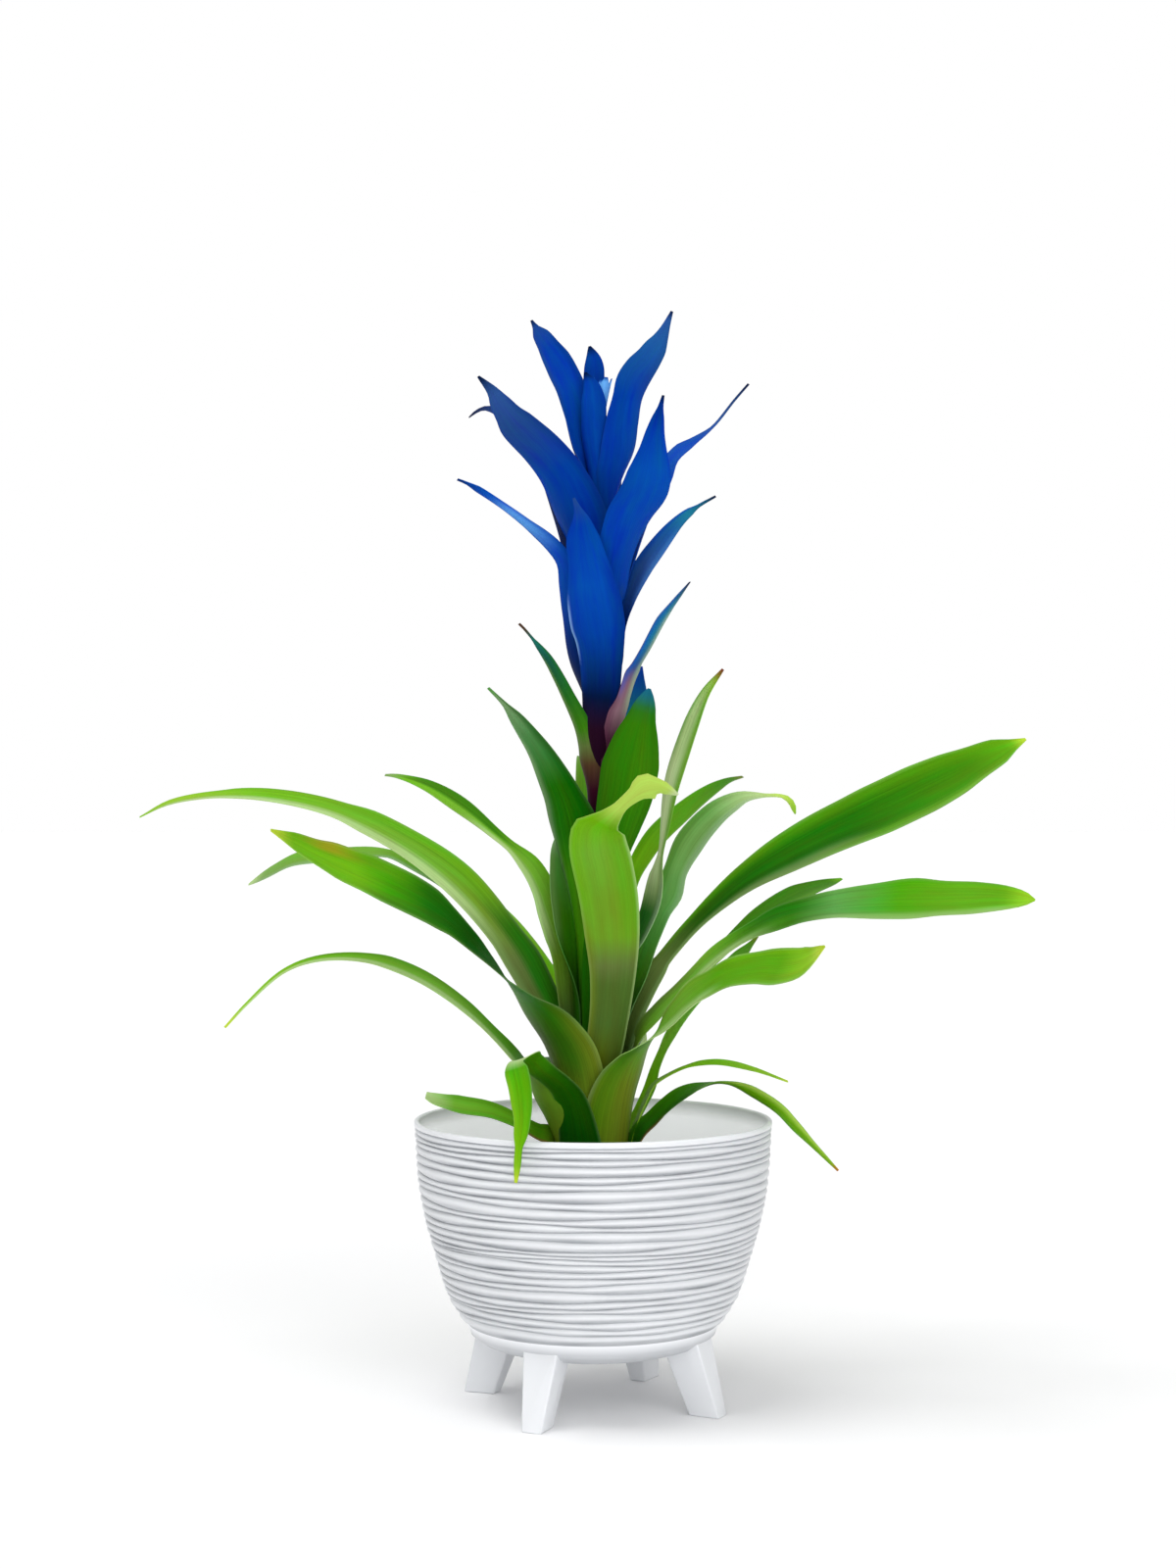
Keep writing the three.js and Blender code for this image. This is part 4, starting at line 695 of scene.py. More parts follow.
     "topBands": [(0.3, 0.9, "dark", 0.6, 0.58, 0.8), (-0.2, -0.6, "mid", 0.7, 0.72, 0.97),
         (-0.35, -0.5, "rust", 0.45, 0.84, 0.91)],
     "under": {0: "olive", 0.12: "moss", 0.2: "khaki", 0.3: "greyGreen", 0.38: "leaf", 0.5: "deep",
         1: "leaf"},
     "underBands": [(-0.3, 0.3, "dark", 0.8, 0.22, 0.5), (0.35, 0.9, "khaki", 0.9, 0.1, 0.36),
         (-0.55, -0.95, "sage", 0.85, 0.2, 0.5), (-0.1, 0.3, "deep", 0.4, 0.3, 0.5)],
     "marginWidth": 0.05, "marginShare": 0.2, "tip": "yellow", "veins": 1},
    {"node": "level_right_leaf", "coat": "midGreen", "azimuth": -15, "wave": (0.8, 6, 0.3),
     "midrib": [(15.7, leafBase), (19.5, 165), (27.5, 206), (37, 218.5), (50.5, 231.5), (61.5, 244),
         (76.5, 256.5), (104, 272), (134, 279.5), (164.5, 282.5), (192, 283.5), (221.5, 285), (245, 284.5)],
     "halfWidth": {0.2: 10, 0.28: 11, 0.33: 9.5, 0.38: 9.5, 0.43: 7, 0.49: 7.25, 0.54: 8.25, 0.58: 10,
         0.62: 9.25, 0.67: 11.25, 0.72: 13.5, 0.76: 14.25, 0.81: 15.5, 0.85: 14.25, 0.89: 13.25, 0.93: 10.5,
         0.96: 8, 0.985: 5}, "roll": {0: 0, 0.15: 0, 0.32: 30, 0.6: 40, 1: 42},
     "top": {0: "forest", 0.22: "khaki", 0.32: "fern", 0.44: "fern", 0.53: "leaf", 0.61: "dark",
         0.68: "jade", 0.78: "grass", 0.88: "mid", 0.96: "mid", 1: "bright"},
     "topBands": [(0.2, 0.9, "ash", 0.6, 0.16, 0.4), (0.1, -0.6, "pale", 0.6, 0.36, 0.54),
         (-0.3, 0.3, "deep", 0.9, 0.53, 0.64), (-0.5, -0.95, "pale", 0.4, 0.66, 0.98)],
     "marginShare": 0.14, "tipFrom": 0.94, "veins": 0.8},
    {"node": "back_low_leaf", "coat": "darkGreen", "azimuth": 104,
     "midrib": [(15.7, leafBase), (18.5, 155), (30, 192), (62, 226), (100, 238), (134, 218)],
     "halfWidth": {0.2: 11, 0.55: 15, 0.85: 10}, "top": {0: "forest", 0.5: "leaf", 1: "fern"}},
    {"node": "notched_right_leaf", "coat": "paleGreen", "azimuth": -47, "wrap": 78, "wave": (0.6, 7, 0.2),
     "midrib": [(17.3, leafBase), (19.5, 150), (25, 178), (34.5, 197), (45, 206), (59.5, 218.5), (78, 232),
         (102, 244.5), (128.5, 250.5), (145.5, 251.5), (158.5, 254.5), (174, 264)],
     "halfWidth": {0.1: 21, 0.2: 20, 0.3: 17, 0.36: 14, 0.41: 14, 0.49: 13, 0.58: 14, 0.63: 11.75,
         0.69: 10.75, 0.75: 11, 0.8: 10.75, 0.87: 11.75, 0.925: 10.5, 0.965: 5.5},
     "skew": {0: -0.1, 0.25: -0.08, 0.36: 0, 1: 0}, "roll": {0: 0, 0.28: 0, 0.4: 20, 0.5: 48, 1: 55},
     "top": {0: "forest", 0.4: "fern", 0.55: "fern", 0.66: "mid", 0.86: "mid", 0.95: "lime", 1: "paleLime"},
     "topBands": [(0.35, 0.9, "khaki", 0.4, 0.4, 0.62), (-0.1, -0.7, "pale", 0.6, 0.42, 0.66),
         (-0.6, -0.95, "fern", 0.6, 0.66, 0.98), (0.5, 1, "bright", 0.5, 0.66, 1)],
     "under": {0: "olive", 0.15: "moss", 0.28: "khaki", 0.38: "fern", 0.46: "fern", 1: "fern"},
     "underBands": [(0.1, -0.7, "leaf", 0.7, 0.15, 0.5), (0.35, 0.85, "sage", 0.85, 0.18, 0.5),
         (-0.6, -1, "moss", 0.6, 0.1, 0.3)],
     "margin": "cream", "marginWidth": 0.05, "marginShare": 0.18, "veins": 1},
    {"node": "droop_left_leaf", "coat": "paleGreen", "azimuth": -155,
     "midrib": [(17.3, leafBase), (20.5, 145), (26, 159), (32, 170), (37, 182), (47, 194.5), (56.5, 205),
         (77.5, 224.5), (105, 242.5), (133.5, 252.5), (162, 253.5), (181.5, 247.5), (202, 231), (214, 219)],
     "halfWidth": {0.1: 18, 0.2: 21, 0.26: 18, 0.33: 8, 0.4: 5.75, 0.46: 6.25, 0.57: 6.75, 0.63: 6.5,
         0.68: 4.75, 0.78: 2.75, 0.85: 1.75},
     "roll": {0: 0, 0.22: 0, 0.34: -38, 0.45: -42, 0.75: -30, 1: -20},
     "top": {0: "olive", 0.16: "moss", 0.28: "leaf", 0.5: "fern", 0.8: "bright", 1: "lime"},
     "topBands": [(0.0, 0.6, "pale", 0.75, 0.3, 1), (-0.2, -0.9, "leaf", 0.5, 0.3, 0.8)],
     "under": {0: "olive", 0.1: "khaki", 0.2: "fresh", 0.5: "fern", 1: "pale"},
     "underBands": [(-0.4, -0.9, "sage", 0.6, 0, 0.3)], "marginShare": 0.14, "veins": 0.7},
    {"node": "back_fall_leaf", "coat": "paleGreen", "azimuth": 78,
     "midrib": [(17.3, leafBase), (19.5, 140), (30, 168), (64, 200), (106, 200), (138, 172)],
     "halfWidth": {0.2: 9, 0.55: 11, 0.85: 8}, "top": {0: "moss", 0.4: "leaf", 1: "bright"}},
    {"node": "over_rim_right_leaf", "coat": "midGreen", "azimuth": -8,
     "midrib": [(20.5, leafBase), (23.5, 142), (28, 154), (33, 159), (40, 166.5), (48.5, 173), (62, 178.5),
         (70, 180.5), (81, 179), (96, 171.5), (104.5, 165.5), (113, 156.5), (129.5, 140), (136.5, 133)],
     "halfWidth": {0.22: 10, 0.28: 6.75, 0.35: 5.5, 0.4: 6, 0.45: 6.5, 0.5: 5, 0.55: 2.5, 0.6: 3.5,
         0.64: 4.75, 0.69: 5, 0.81: 4.5, 0.885: 2.75, 0.945: 1.75},
     "roll": {0: 0, 0.2: 25, 0.35: 45, 0.5: 0, 0.62: -45, 1: -45},
     "top": {0: "forest", 0.2: "deep", 0.42: "dark", 0.5: "leaf", 1: "bright"},
     "topBands": [(0.3, 0.9, "leaf", 0.6, 0.15, 0.5), (-0.3, -0.9, "bottle", 0.5, 0.1, 0.45),
         (-0.6, -0.9, "husk", 0.9, 0.06, 0.3)],
     "under": {0: "forest", 0.5: "leaf", 0.62: "bright", 0.85: "bright", 1: "lime"},
     "underBands": [(-0.2, -0.9, "paleLime", 0.7, 0.55, 0.95), (0.3, 0.9, "grass", 0.5, 0.5, 1)],
     "marginShare": 0.14, "tip": "rust", "tipFrom": 0.965, "veins": 0.7},
    {"node": "low_left_leaf", "coat": "darkGreen", "azimuth": -168,
     "midrib": [(20.5, leafBase), (21.5, 142), (25, 150), (31, 152), (41, 157.5), (58, 165), (75.5, 168.5),
         (90.5, 172.5), (94.5, 174.5)],
     "halfWidth": {0.2: 8, 0.33: 8.25, 0.41: 7, 0.5: 6.25, 0.6: 6.75, 0.82: 7.5, 0.9: 6, 0.96: 4.75, 1: 3},
     "roll": {0: 0, 0.15: 0, 0.32: -35, 1: -35},
     "top": {0: "olive", 0.25: "moss", 0.4: "leaf", 0.55: "mid", 0.85: "fern", 1: "pale"},
     "topBands": [(-0.2, -0.9, "leaf", 0.5, 0.4, 0.9), (0.2, 0.9, "grass", 0.4, 0.4, 0.9),
         (0.6, 0.9, "husk", 0.9, 0.24, 0.5)],
     "margin": "pale", "marginShare": 0.18, "tip": "pale", "veins": 0.8},
    {"node": "back_right_straight_leaf", "coat": "midGreen", "azimuth": 52,
     "midrib": [(18.9, leafBase), (24, 140), (43.5, 160), (53.5, 172), (58.5, 182.5), (74, 201),
         (95.5, 217.5), (128.5, 235), (154, 248.5), (161.5, 253)],
     "halfWidth": {0.2: 5, 0.26: 4, 0.34: 4.25, 0.4: 3.25, 0.45: 3, 0.51: 4, 0.64: 4.25, 0.72: 5, 0.82: 5,
         0.9: 4.5, 0.96: 2}, "roll": {0: 0, 0.3: 0, 1: 15},
     "top": {0: "moss", 0.35: "bright", 0.6: "fern", 1: "leaf"}, "tip": "moss"},
    {"node": "far_right_thin_leaf", "coat": "yellowGreen", "azimuth": 13,
     "midrib": [(18.9, leafBase), (21, 142), (25, 156), (31, 170), (34.5, 176.5), (38, 179.5), (54, 187),
         (71, 189), (93, 184.5), (113.5, 177)],
     "halfWidth": {0.15: 3, 0.3: 4, 0.4: 4.5, 0.45: 4, 0.53: 2, 0.59: 1.5, 0.65: 2.25, 0.78: 3, 0.86: 2.25,
         0.92: 1.5}, "roll": {0: 0, 0.45: 0, 0.65: 30, 1: 30},
     "top": {0: "moss", 0.35: "lime", 0.7: "bright", 1: "lime"}, "margin": "paleLime", "marginShare": 0.18},
    # The cream and pale tones at its fold, about 0.62 to 0.65 along, are a painted highlight on the bend
    {"node": "folded_front_leaf", "coat": "midGreen", "azimuth": -112,
     "midrib": [(18.9, leafBase), (21.5, 142), (28, 164), (36, 176.5, -1), (46, 184.5, -4),
         (60, 191.5, -5.5), (72, 199, -6), (83, 201, -5), (95, 199.5, -6), (101, 195, -2.5), (105, 188, 1),
         (108, 172, 3.5), (107, 156.5, 1), (105, 143.5, -1), (104, 138, -2)],
     "halfWidth": {0.26: 11, 0.33: 9.75, 0.4: 9, 0.48: 7.75, 0.55: 6, 0.6: 8, 0.66: 4.5, 0.7: 6.5,
         0.785: 5.75, 0.83: 4.5, 0.87: 3.75, 0.91: 2, 0.94: 2},
     "roll": {0: 0, 0.35: 0, 0.5: 12, 0.6: 20, 0.7: 0, 1: 0},
     "top": {0: "forest", 0.55: "leaf", 0.62: "cream", 0.65: "pale", 0.69: "grass", 0.8: "mid",
         0.9: "bright", 1: "lime"},
     "topBands": [(0.5, 1, "leaf", 0.6, 0.68, 0.98), (-0.3, -0.9, "lime", 0.35, 0.7, 1)],
     "under": {0: "bottle", 0.2: "bottle", 0.34: "deep", 0.5: "leaf", 0.64: "grass", 1: "grass"},
     "underBands": [(0.4, 1, "bottle", 0.5, 0.1, 0.5), (-0.4, -1, "leaf", 0.6, 0.3, 0.6)],
     "marginShare": 0.14, "tip": "yellow", "veins": 0.8},
    {"node": "back_left_leaf", "coat": "midGreen", "azimuth": 122,
     "midrib": [(14.1, leafBase), (17, 162), (29, 208), (64, 238), (109, 267), (162, 290)],
     "halfWidth": {0.2: 9, 0.4: 13, 0.55: 13, 0.7: 12, 0.88: 8},
     "top": {0: "moss", 0.3: "lime", 0.55: "bright", 1: "fern"}},
    {"node": "back_left_low_leaf", "coat": "midGreen", "azimuth": 110,
     "midrib": [(20.5, leafBase), (23, 138), (35, 164), (62, 184), (92, 182), (114, 162)],
     "halfWidth": {0.2: 8, 0.6: 9, 0.85: 6}, "top": {0: "bottle", 0.5: "dark", 1: "leaf"}},
]

bracts = [
    {"node": "top_back_bract", "coat": "navy", "azimuth": 100,
     "midrib": [(3.9, 500), (5.5, 522, 1), (7, 538, 2.5), (8, 555, 2.5), (9, 568, 2.5), (11, 584, 2),
         (12, 592, 4)],
     "halfWidth": {0.2: 8, 0.42: 10, 0.59: 7.5, 0.74: 6.5, 0.85: 6, 0.91: 4.75, 0.96: 2.75},
     "top": {0: "night", 0.5: "navy", 1: "royal"}, "margin": "navy"},
    {"node": "top_inner_bract", "coat": "navy", "azimuth": -115,
     "midrib": [(3.9, 500), (6, 526, -2), (7.5, 542, -3.5), (9, 558, -3.5), (9, 566, -3.5), (9, 575, -5)],
     "halfWidth": {0.35: 8.5, 0.56: 8, 0.77: 7.5, 0.89: 5},
     "skew": {0: 0, 0.5: 0.2, 0.7: 0.4, 0.95: 0.45, 1: 0},
     "under": {0: "royal", 0.3: "blue", 0.8: "blue", 1: "royal"},
     "underBands": [(-0.2, 0.1, "royal", 0.5, 0.3, 0.9), (0.2, 0.9, "navy", 0.35, 0.4, 1)],
     "margin": "navy"},
    {"node": "top_left_bract", "coat": "blue", "azimuth": 178,
     "midrib": [(4.2, 484), (8, 512), (12.5, 538), (14.5, 552), (18, 566), (21.5, 574.5), (25, 582.5),
         (29.5, 590.5), (36.5, 601.5), (38.5, 605)],
     "halfWidth": {0.2: 10, 0.43: 14, 0.545: 12.5, 0.65: 11, 0.73: 10.5, 0.8: 9.5, 0.865: 7.25, 0.925: 5.5,
         0.97: 1.75}, "roll": {0: 0, 0.15: 0, 0.4: -45, 1: -60},
     "top": {0: "navy", 0.3: "royal", 0.6: "blue", 0.85: "royal", 1: "dusk"},
     "topBands": [(0.5, 0.95, "dusk", 0.6, 0.5, 1), (-0.5, -0.9, "navy", 0.5, 0.4, 0.9)],
     "margin": "dusk", "marginShare": 0.22},
    {"node": "top_right_bract", "coat": "blue", "azimuth": -28, "wrap": 70,
     "midrib": [(4.2, 484), (8, 510), (13, 531), (14.5, 547.5), (17, 560), (20, 569), (24.5, 575.5),
         (30.5, 582), (37.5, 592), (44.5, 606.5)],
     "halfWidth": {0.12: 9.5, 0.22: 12, 0.36: 12, 0.49: 10, 0.59: 8.5, 0.66: 9.25, 0.72: 8.75, 0.79: 7.25,
         0.83: 6.5, 0.88: 4.25, 0.935: 2.25}, "roll": {0: 0, 0.25: -20, 0.6: -55, 1: -60},
     "under": {0: "navy", 0.3: "royal", 0.6: "royal", 0.85: "steel", 1: "slate"},
     "underBands": [(0.2, 1, "dusk", 0.5, 0.5, 1), (-0.3, 0.3, "blue", 0.5, 0.1, 0.6)],
     "margin": "dusk", "marginShare": 0.18},
    {"node": "left_front_bract", "coat": "blue", "azimuth": -140, "wrap": 64,
     "midrib": [(4.9, 436), (8.5, 452), (13, 480), (20.5, 502), (29, 516.5), (41, 528.5), (59.5, 541.5),
         (71, 552.5), (76, 558.5), (86, 566)],
     "halfWidth": {0.13: 14, 0.3: 18, 0.4: 16.5, 0.46: 14.75, 0.53: 13.25, 0.63: 12, 0.71: 11.25,
         0.775: 10.25, 0.83: 7.5, 0.875: 6, 0.92: 3.5}, "roll": {0: 0, 0.1: 15, 0.35: 32, 1: 40},
     "under": {0: "navy", 0.2: "royal", 0.55: "royal", 0.78: "dusk", 0.92: "slate", 1: "night"},
     "underBands": [(-0.3, -1, "blue", 0.7, 0.1, 0.6), (0.5, 1, "navy", 0.45, 0.2, 0.9)],
     "margin": "dusk", "marginShare": 0.14},
    {"node": "right_front_bract", "coat": "blue", "azimuth": -60, "wrap": 66,
     "midrib": [(4.9, 436), (10, 444), (15, 454), (18, 465), (25.5, 480), (35.5, 493), (45, 503),
         (51, 511.5), (56, 526), (58.5, 536), (64, 549), (67, 555.5)],
     "halfWidth": {0.1: 11, 0.26: 11, 0.38: 12.25, 0.49: 13, 0.6: 13.25, 0.67: 12.5, 0.725: 10.25,
         0.785: 7.5, 0.85: 5.25, 0.905: 3.5, 0.955: 1.5},
     "skew": {0: -0.25, 0.45: -0.2, 0.62: 0, 1: 0}, "roll": {0: 0, 0.3: 0, 0.6: -20, 1: -20},
     "under": {0: "navy", 0.2: "royal", 0.5: "blue", 0.7: "blue", 0.85: "royal", 1: "navy"},
     "underBands": [(-0.2, -1, "royal", 0.5), (0.4, 1, "blue", 0.5)], "margin": "navy", "marginShare": 0.14},
    {"node": "back_upper_bract", "coat": "navy", "azimuth": 90,
     "midrib": [(4.9, 436), (9, 458), (19, 490), (36, 524), (58, 552), (74, 560)],
     "halfWidth": {0.4: 12, 0.7: 12}},
    {"node": "right_thin_bract", "coat": "blue", "azimuth": 18,
     "midrib": [(5.2, 408), (9.5, 440), (16.5, 468), (25.5, 495), (36.5, 515), (42, 528), (48.5, 534.5),
         (55, 539), (67, 548), (80, 563.5), (88.5, 573)],
     "halfWidth": {0.2: 8, 0.34: 10, 0.48: 7, 0.59: 8.75, 0.66: 6.75, 0.71: 6.5, 0.75: 4, 0.79: 2.25,
         0.83: 1}, "roll": {0: 0, 0.4: 10, 1: 40},
     "top": {0: "navy", 0.5: "royal", 0.62: "cobalt", 0.75: "blue", 0.85: "slate", 1: "night"},
     "topBands": [(0.3, 0.9, "steel", 0.5, 0.5, 0.8)], "margin": "slate", "marginShare": 0.18},
    {"node": "left_far_bract", "coat": "navy", "azimuth": 157,
     "midrib": [(5.2, 408), (12, 434), (20, 470), (30, 505), (42, 536.5), (51.5, 547.5), (59.5, 554),
         (65.5, 557.5), (70.5, 559), (76, 557.5), (81, 554.5)],
     "halfWidth": {0.4: 8, 0.73: 6.75, 0.815: 5.75, 0.87: 4.25, 0.91: 3.5, 0.94: 3.25, 0.97: 3},
     "roll": {0: 0, 0.6: 0, 0.85: -20, 1: -35}, "top": {0: "navy", 0.6: "navy", 1: "dusk"}, "tipFrom": 0.85},
    {"node": "left_thin_bract", "coat": "skyBlue", "azimuth": -155,
     "midrib": [(5.5, 374), (8.5, 389), (13, 405), (16, 422), (18, 441), (20.5, 457), (23, 469),
         (29.5, 477.5), (46.5, 490.5), (64.5, 502), (80.5, 510.5), (86.5, 512.5)],
     "halfWidth": {0.085: 7, 0.19: 9, 0.29: 8.25, 0.4: 8.25, 0.485: 7, 0.555: 5.5, 0.62: 5, 0.675: 4.25,
         0.74: 3, 0.86: 2.25, 0.92: 2.25, 0.965: 1}, "roll": {0: 0, 0.08: 0, 0.3: 32, 1: 40},
     "under": {0: "wine", 0.12: "night", 0.3: "navy", 0.42: "royal", 0.5: "blue", 0.6: "cobalt", 0.72: "sky",
         0.8: "sky", 0.88: "cobalt", 1: "navy"},
     "underBands": [(0.2, 1, "blue", 0.7, 0.45, 1), (-0.6, -1, "blue", 0.8, 0.45, 1)],
     "margin": "royal", "marginShare": 0.18, "tip": "navy"},
    {"node": "right_low_bract", "coat": "blue", "azimuth": 2,
     "midrib": [(5.5, 374), (6.5, 393), (8.5, 412), (10.5, 434), (15.5, 449.5), (22.5, 465.5), (31.5, 478.5),
         (43.5, 493), (53.5, 501), (64, 507)],
     "halfWidth": {0.12: 6, 0.25: 5.25, 0.39: 4, 0.5: 4.75, 0.56: 6.25, 0.61: 7.25, 0.66: 7.25, 0.72: 6.75,
         0.78: 5.75, 0.84: 4.25, 0.89: 3, 0.925: 1.25}, "roll": {0: 0, 0.08: 0, 0.3: 45, 1: 50},
     "top": {0: "wine", 0.2: "night", 0.42: "navy", 0.52: "dusk", 0.64: "slate", 0.78: "steel",
         0.88: "lagoon", 1: "night"},
     "topBands": [(-0.2, -0.9, "sky", 0.35, 0.5, 0.8), (0.3, 0.95, "blue", 0.75, 0.4, 0.95)],
     "margin": "navy", "marginShare": 0.14},
    {"node": "back_low_bract", "coat": "navy", "azimuth": 92,
     "midrib": [(5.5, 374), (12, 400), (20, 435), (29, 470), (42, 500)], "halfWidth": {0.4: 14, 0.7: 13},
     "top": {0: "night", 0.5: "navy", 1: "royal"}},
    {"node": "front_bract", "coat": "blue", "azimuth": -95,
     "midrib": [(5.7, 356), (11, 380, -1.5), (16, 400), (20.5, 425), (23, 436, -1.5), (25, 448, -3),
         (27.5, 464, -5), (29.5, 480, -8), (31, 492, -9), (32, 503, -12.5)],
     "halfWidth": {0.1: 9, 0.275: 11.5, 0.37: 12.5, 0.46: 14.5, 0.53: 16.5, 0.61: 16, 0.7: 13.25, 0.77: 11,
         0.845: 9.5, 0.91: 5.5, 0.96: 2},
     "under": {0: "wine", 0.14: "wine", 0.26: "night", 0.36: "navy", 0.5: "royal", 0.68: "blue",
         0.9: "royal", 1: "dusk"},
     "underBands": [(0.35, 1, "navy", 0.5, 0.1, 0.75), (-0.5, -0.95, "royal", 0.5, 0.3, 1),
         (-0.965, -1, "ice", 0.9, 0.42, 0.62)],
     "margin": "navy", "marginWidth": 0.03, "marginShare": 0.11, "tip": "dusk", "tipFrom": 0.97},
    {"node": "scape_right_bract", "coat": "mauve", "azimuth": -40,
     "midrib": [(5.6, 340), (7, 362), (10, 376), (15.5, 393.5), (21.5, 407.5), (31.5, 421), (43.5, 437.5),
         (55.5, 450), (62, 456.5)],
     "halfWidth": {0.2: 8, 0.34: 8.5, 0.42: 5.75, 0.48: 5.5, 0.53: 6, 0.57: 4.5, 0.73: 5.25, 0.8: 5.75,
         0.87: 4.25, 0.93: 3}, "roll": {0: 0, 0.4: 0, 1: 15},
     "under": {0: "wine", 0.14: "maroon", 0.24: "plum", 0.36: "rose", 0.48: "mauve", 0.56: "slate",
         0.7: "lagoon", 0.88: "lagoon", 1: "night"},
     "underBands": [(-0.3, 0.6, "frost", 0.6, 0.36, 0.85), (-0.3, -0.95, "plum", 0.7, 0.15, 0.42),
         (-0.2, -0.9, "cobalt", 0.6, 0.44, 0.95)], "marginShare": 0.11, "veins": 0.8},
    {"node": "scape_left_bract", "coat": "teal", "azimuth": -150,
     "midrib": [(5.6, 326), (7, 344), (8.5, 356), (10, 367.5), (13.5, 378.5), (23, 396), (28.5, 405.5),
         (35, 415.5), (41, 422.5), (49.5, 431.5), (53, 434.5)],
     "halfWidth": {0.15: 7, 0.24: 9, 0.34: 6.75, 0.44: 5.5, 0.51: 4.75, 0.6: 4, 0.69: 3.5, 0.79: 2.75,
         0.86: 1.75, 0.91: 0.8}, "roll": {0: 0, 0.1: 0, 0.3: 30, 1: 40},
     "under": {0: "wine", 0.14: "maroon", 0.26: "umber", 0.34: "ash", 0.42: "leaf", 0.6: "jungle",
         0.78: "pine", 0.9: "teal", 1: "brown"},
     "underBands": [(-0.3, -0.95, "sage", 0.6, 0.3, 0.8), (0.3, 0.95, "deep", 0.6, 0.3, 0.9)],
     "margin": "brown", "tip": "brown", "veins": 0.8},
    {"node": "scape_back_bract", "coat": "teal", "azimuth": 95,
     "midrib": [(5.7, 322), (8, 345), (15, 372), (26, 400), (40, 418)], "halfWidth": {0.4: 10, 0.7: 8},
     "top": {0: "maroon", 0.3: "forest", 0.75: "jungle", 0.9: "teal", 1: "tealBlue"}, "tip": "lagoon"},
]

for leaf in leaves:
    growBlade(leaf, leaves, ("leafTop", "leafUnder"), False)
print("leaves grown")
for bract in bracts:
    growBlade(bract, bracts, ("bractTop", "bractUnder"), True)
print("bracts grown")


# A line of points, (radius, height) in millimetres, spun round the upright axis into one closed body
def spinOutline(name, outline, turns):
    bpy.ops.object.select_all(action="DESELECT")
    bpy.ops.mesh.primitive_circle_add(vertices=len(outline), radius=1)
    piece = bpy.context.object
    piece.name = name
    for vertex, (radius, height) in zip(piece.data.vertices, outline):
        vertex.co = (radius * mm, 0, height * mm)
    bpy.ops.object.mode_set(mode="EDIT")
    bpy.ops.mesh.select_mode(type="EDGE")
    bpy.ops.mesh.select_all(action="DESELECT")
    bpy.ops.object.mode_set(mode="OBJECT")
    last = len(outline) - 1
    for edge in piece.data.edges:
        edge.select = set(edge.vertices) == {0, last}
    bpy.ops.object.mode_set(mode="EDIT")
    bpy.ops.mesh.delete(type="EDGE")
    bpy.ops.mesh.select_all(action="SELECT")
    bpy.ops.mesh.spin(steps=turns, angle=2 * math.pi, center=(0, 0, 0), axis=(0, 0, 1))
    bpy.ops.mesh.select_all(action="SELECT")
    bpy.ops.mesh.remove_doubles(threshold=0.00001)
    bpy.ops.mesh.normals_make_consistent(inside=False)
    bpy.ops.object.mode_set(mode="OBJECT")
    return piece


# Satin plastic: clouds and grain are fine or coarse by their scale, the clouds make its painted shade patchy,
# and roughness runs from its first value
plasticValues = {
    "clouds": (26, 26, 26), "grain": (1500, 1500, 1500), "leastShadeShare": 0.7, "shadeSpread": 0.5,
    "roughness": 0.26, "roughSpread": 0.16, "relief": 0.04, "paintedGlowTone": (0.97, 0.98, 1, 1),
}


# It has painted shade in the creases between its ridges, under them and on its foot, and a painted glow over
# its inner wall that stands in for light, though no lamp is there
def makePlastic(values):
    group, given, result = newGroup("plasticGrain", [
        ("PaintedShadeShare", "NodeSocketFloat", 0), ("Unshaded", "NodeSocketColor", None),
        ("Shaded", "NodeSocketColor", None),
    ], [("Colour", "NodeSocketColor"), ("Roughness", "NodeSocketFloat"), ("Height", "NodeSocketFloat")])
    place = addNode(group, "ShaderNodeTexCoord").outputs["Object"]
    cloud = scaledNoise(group, place, values["clouds"], 3)
    grain = scaledNoise(group, place, values["grain"], 2)
    # Painted shade: how much painted shade grey goes into the white, made patchy by the clouds
    patchyShade = mathNode(group, "MULTIPLY_ADD", cloud, values["shadeSpread"], values["leastShadeShare"])
    patchyShade = mathNode(group, "MULTIPLY", given.outputs["PaintedShadeShare"], patchyShade)
    colour = mixedTone(group, patchyShade, given.outputs["Unshaded"], given.outputs["Shaded"])
    group.links.new(colour, result.inputs["Colour"])
    rough = mathNode(group, "MULTIPLY_ADD", cloud, values["roughSpread"], values["roughness"])
    group.links.new(rough, result.inputs["Roughness"])
    group.links.new(grain, result.inputs["Height"])
    plastic, tree, shader = newMaterial("satinPlastic")
    paintedShade = addNode(tree, "ShaderNodeAttribute", attribute_name="paintedShade")
    finish = addNode(tree, "ShaderNodeGroup", node_tree=group)
    finish.inputs["Unshaded"].default_value = (*linearTone("white"), 1)
    finish.inputs["Shaded"].default_value = (*linearTone("paintedShadeGrey"), 1)
    tree.links.new(paintedShade.outputs["Fac"], finish.inputs["PaintedShadeShare"])
    dress(tree, finish, shader, values["relief"], 0.5)
    # Painted glow: the inner wall gives off a little light of its own, though no lamp is there
    paintedGlow = addNode(tree, "ShaderNodeAttribute", attribute_name="paintedGlow")
    shader.inputs["Emission Color"].default_value = values["paintedGlowTone"]
    tree.links.new(paintedGlow.outputs["Fac"], shader.inputs["Emission Strength"])
    return plastic


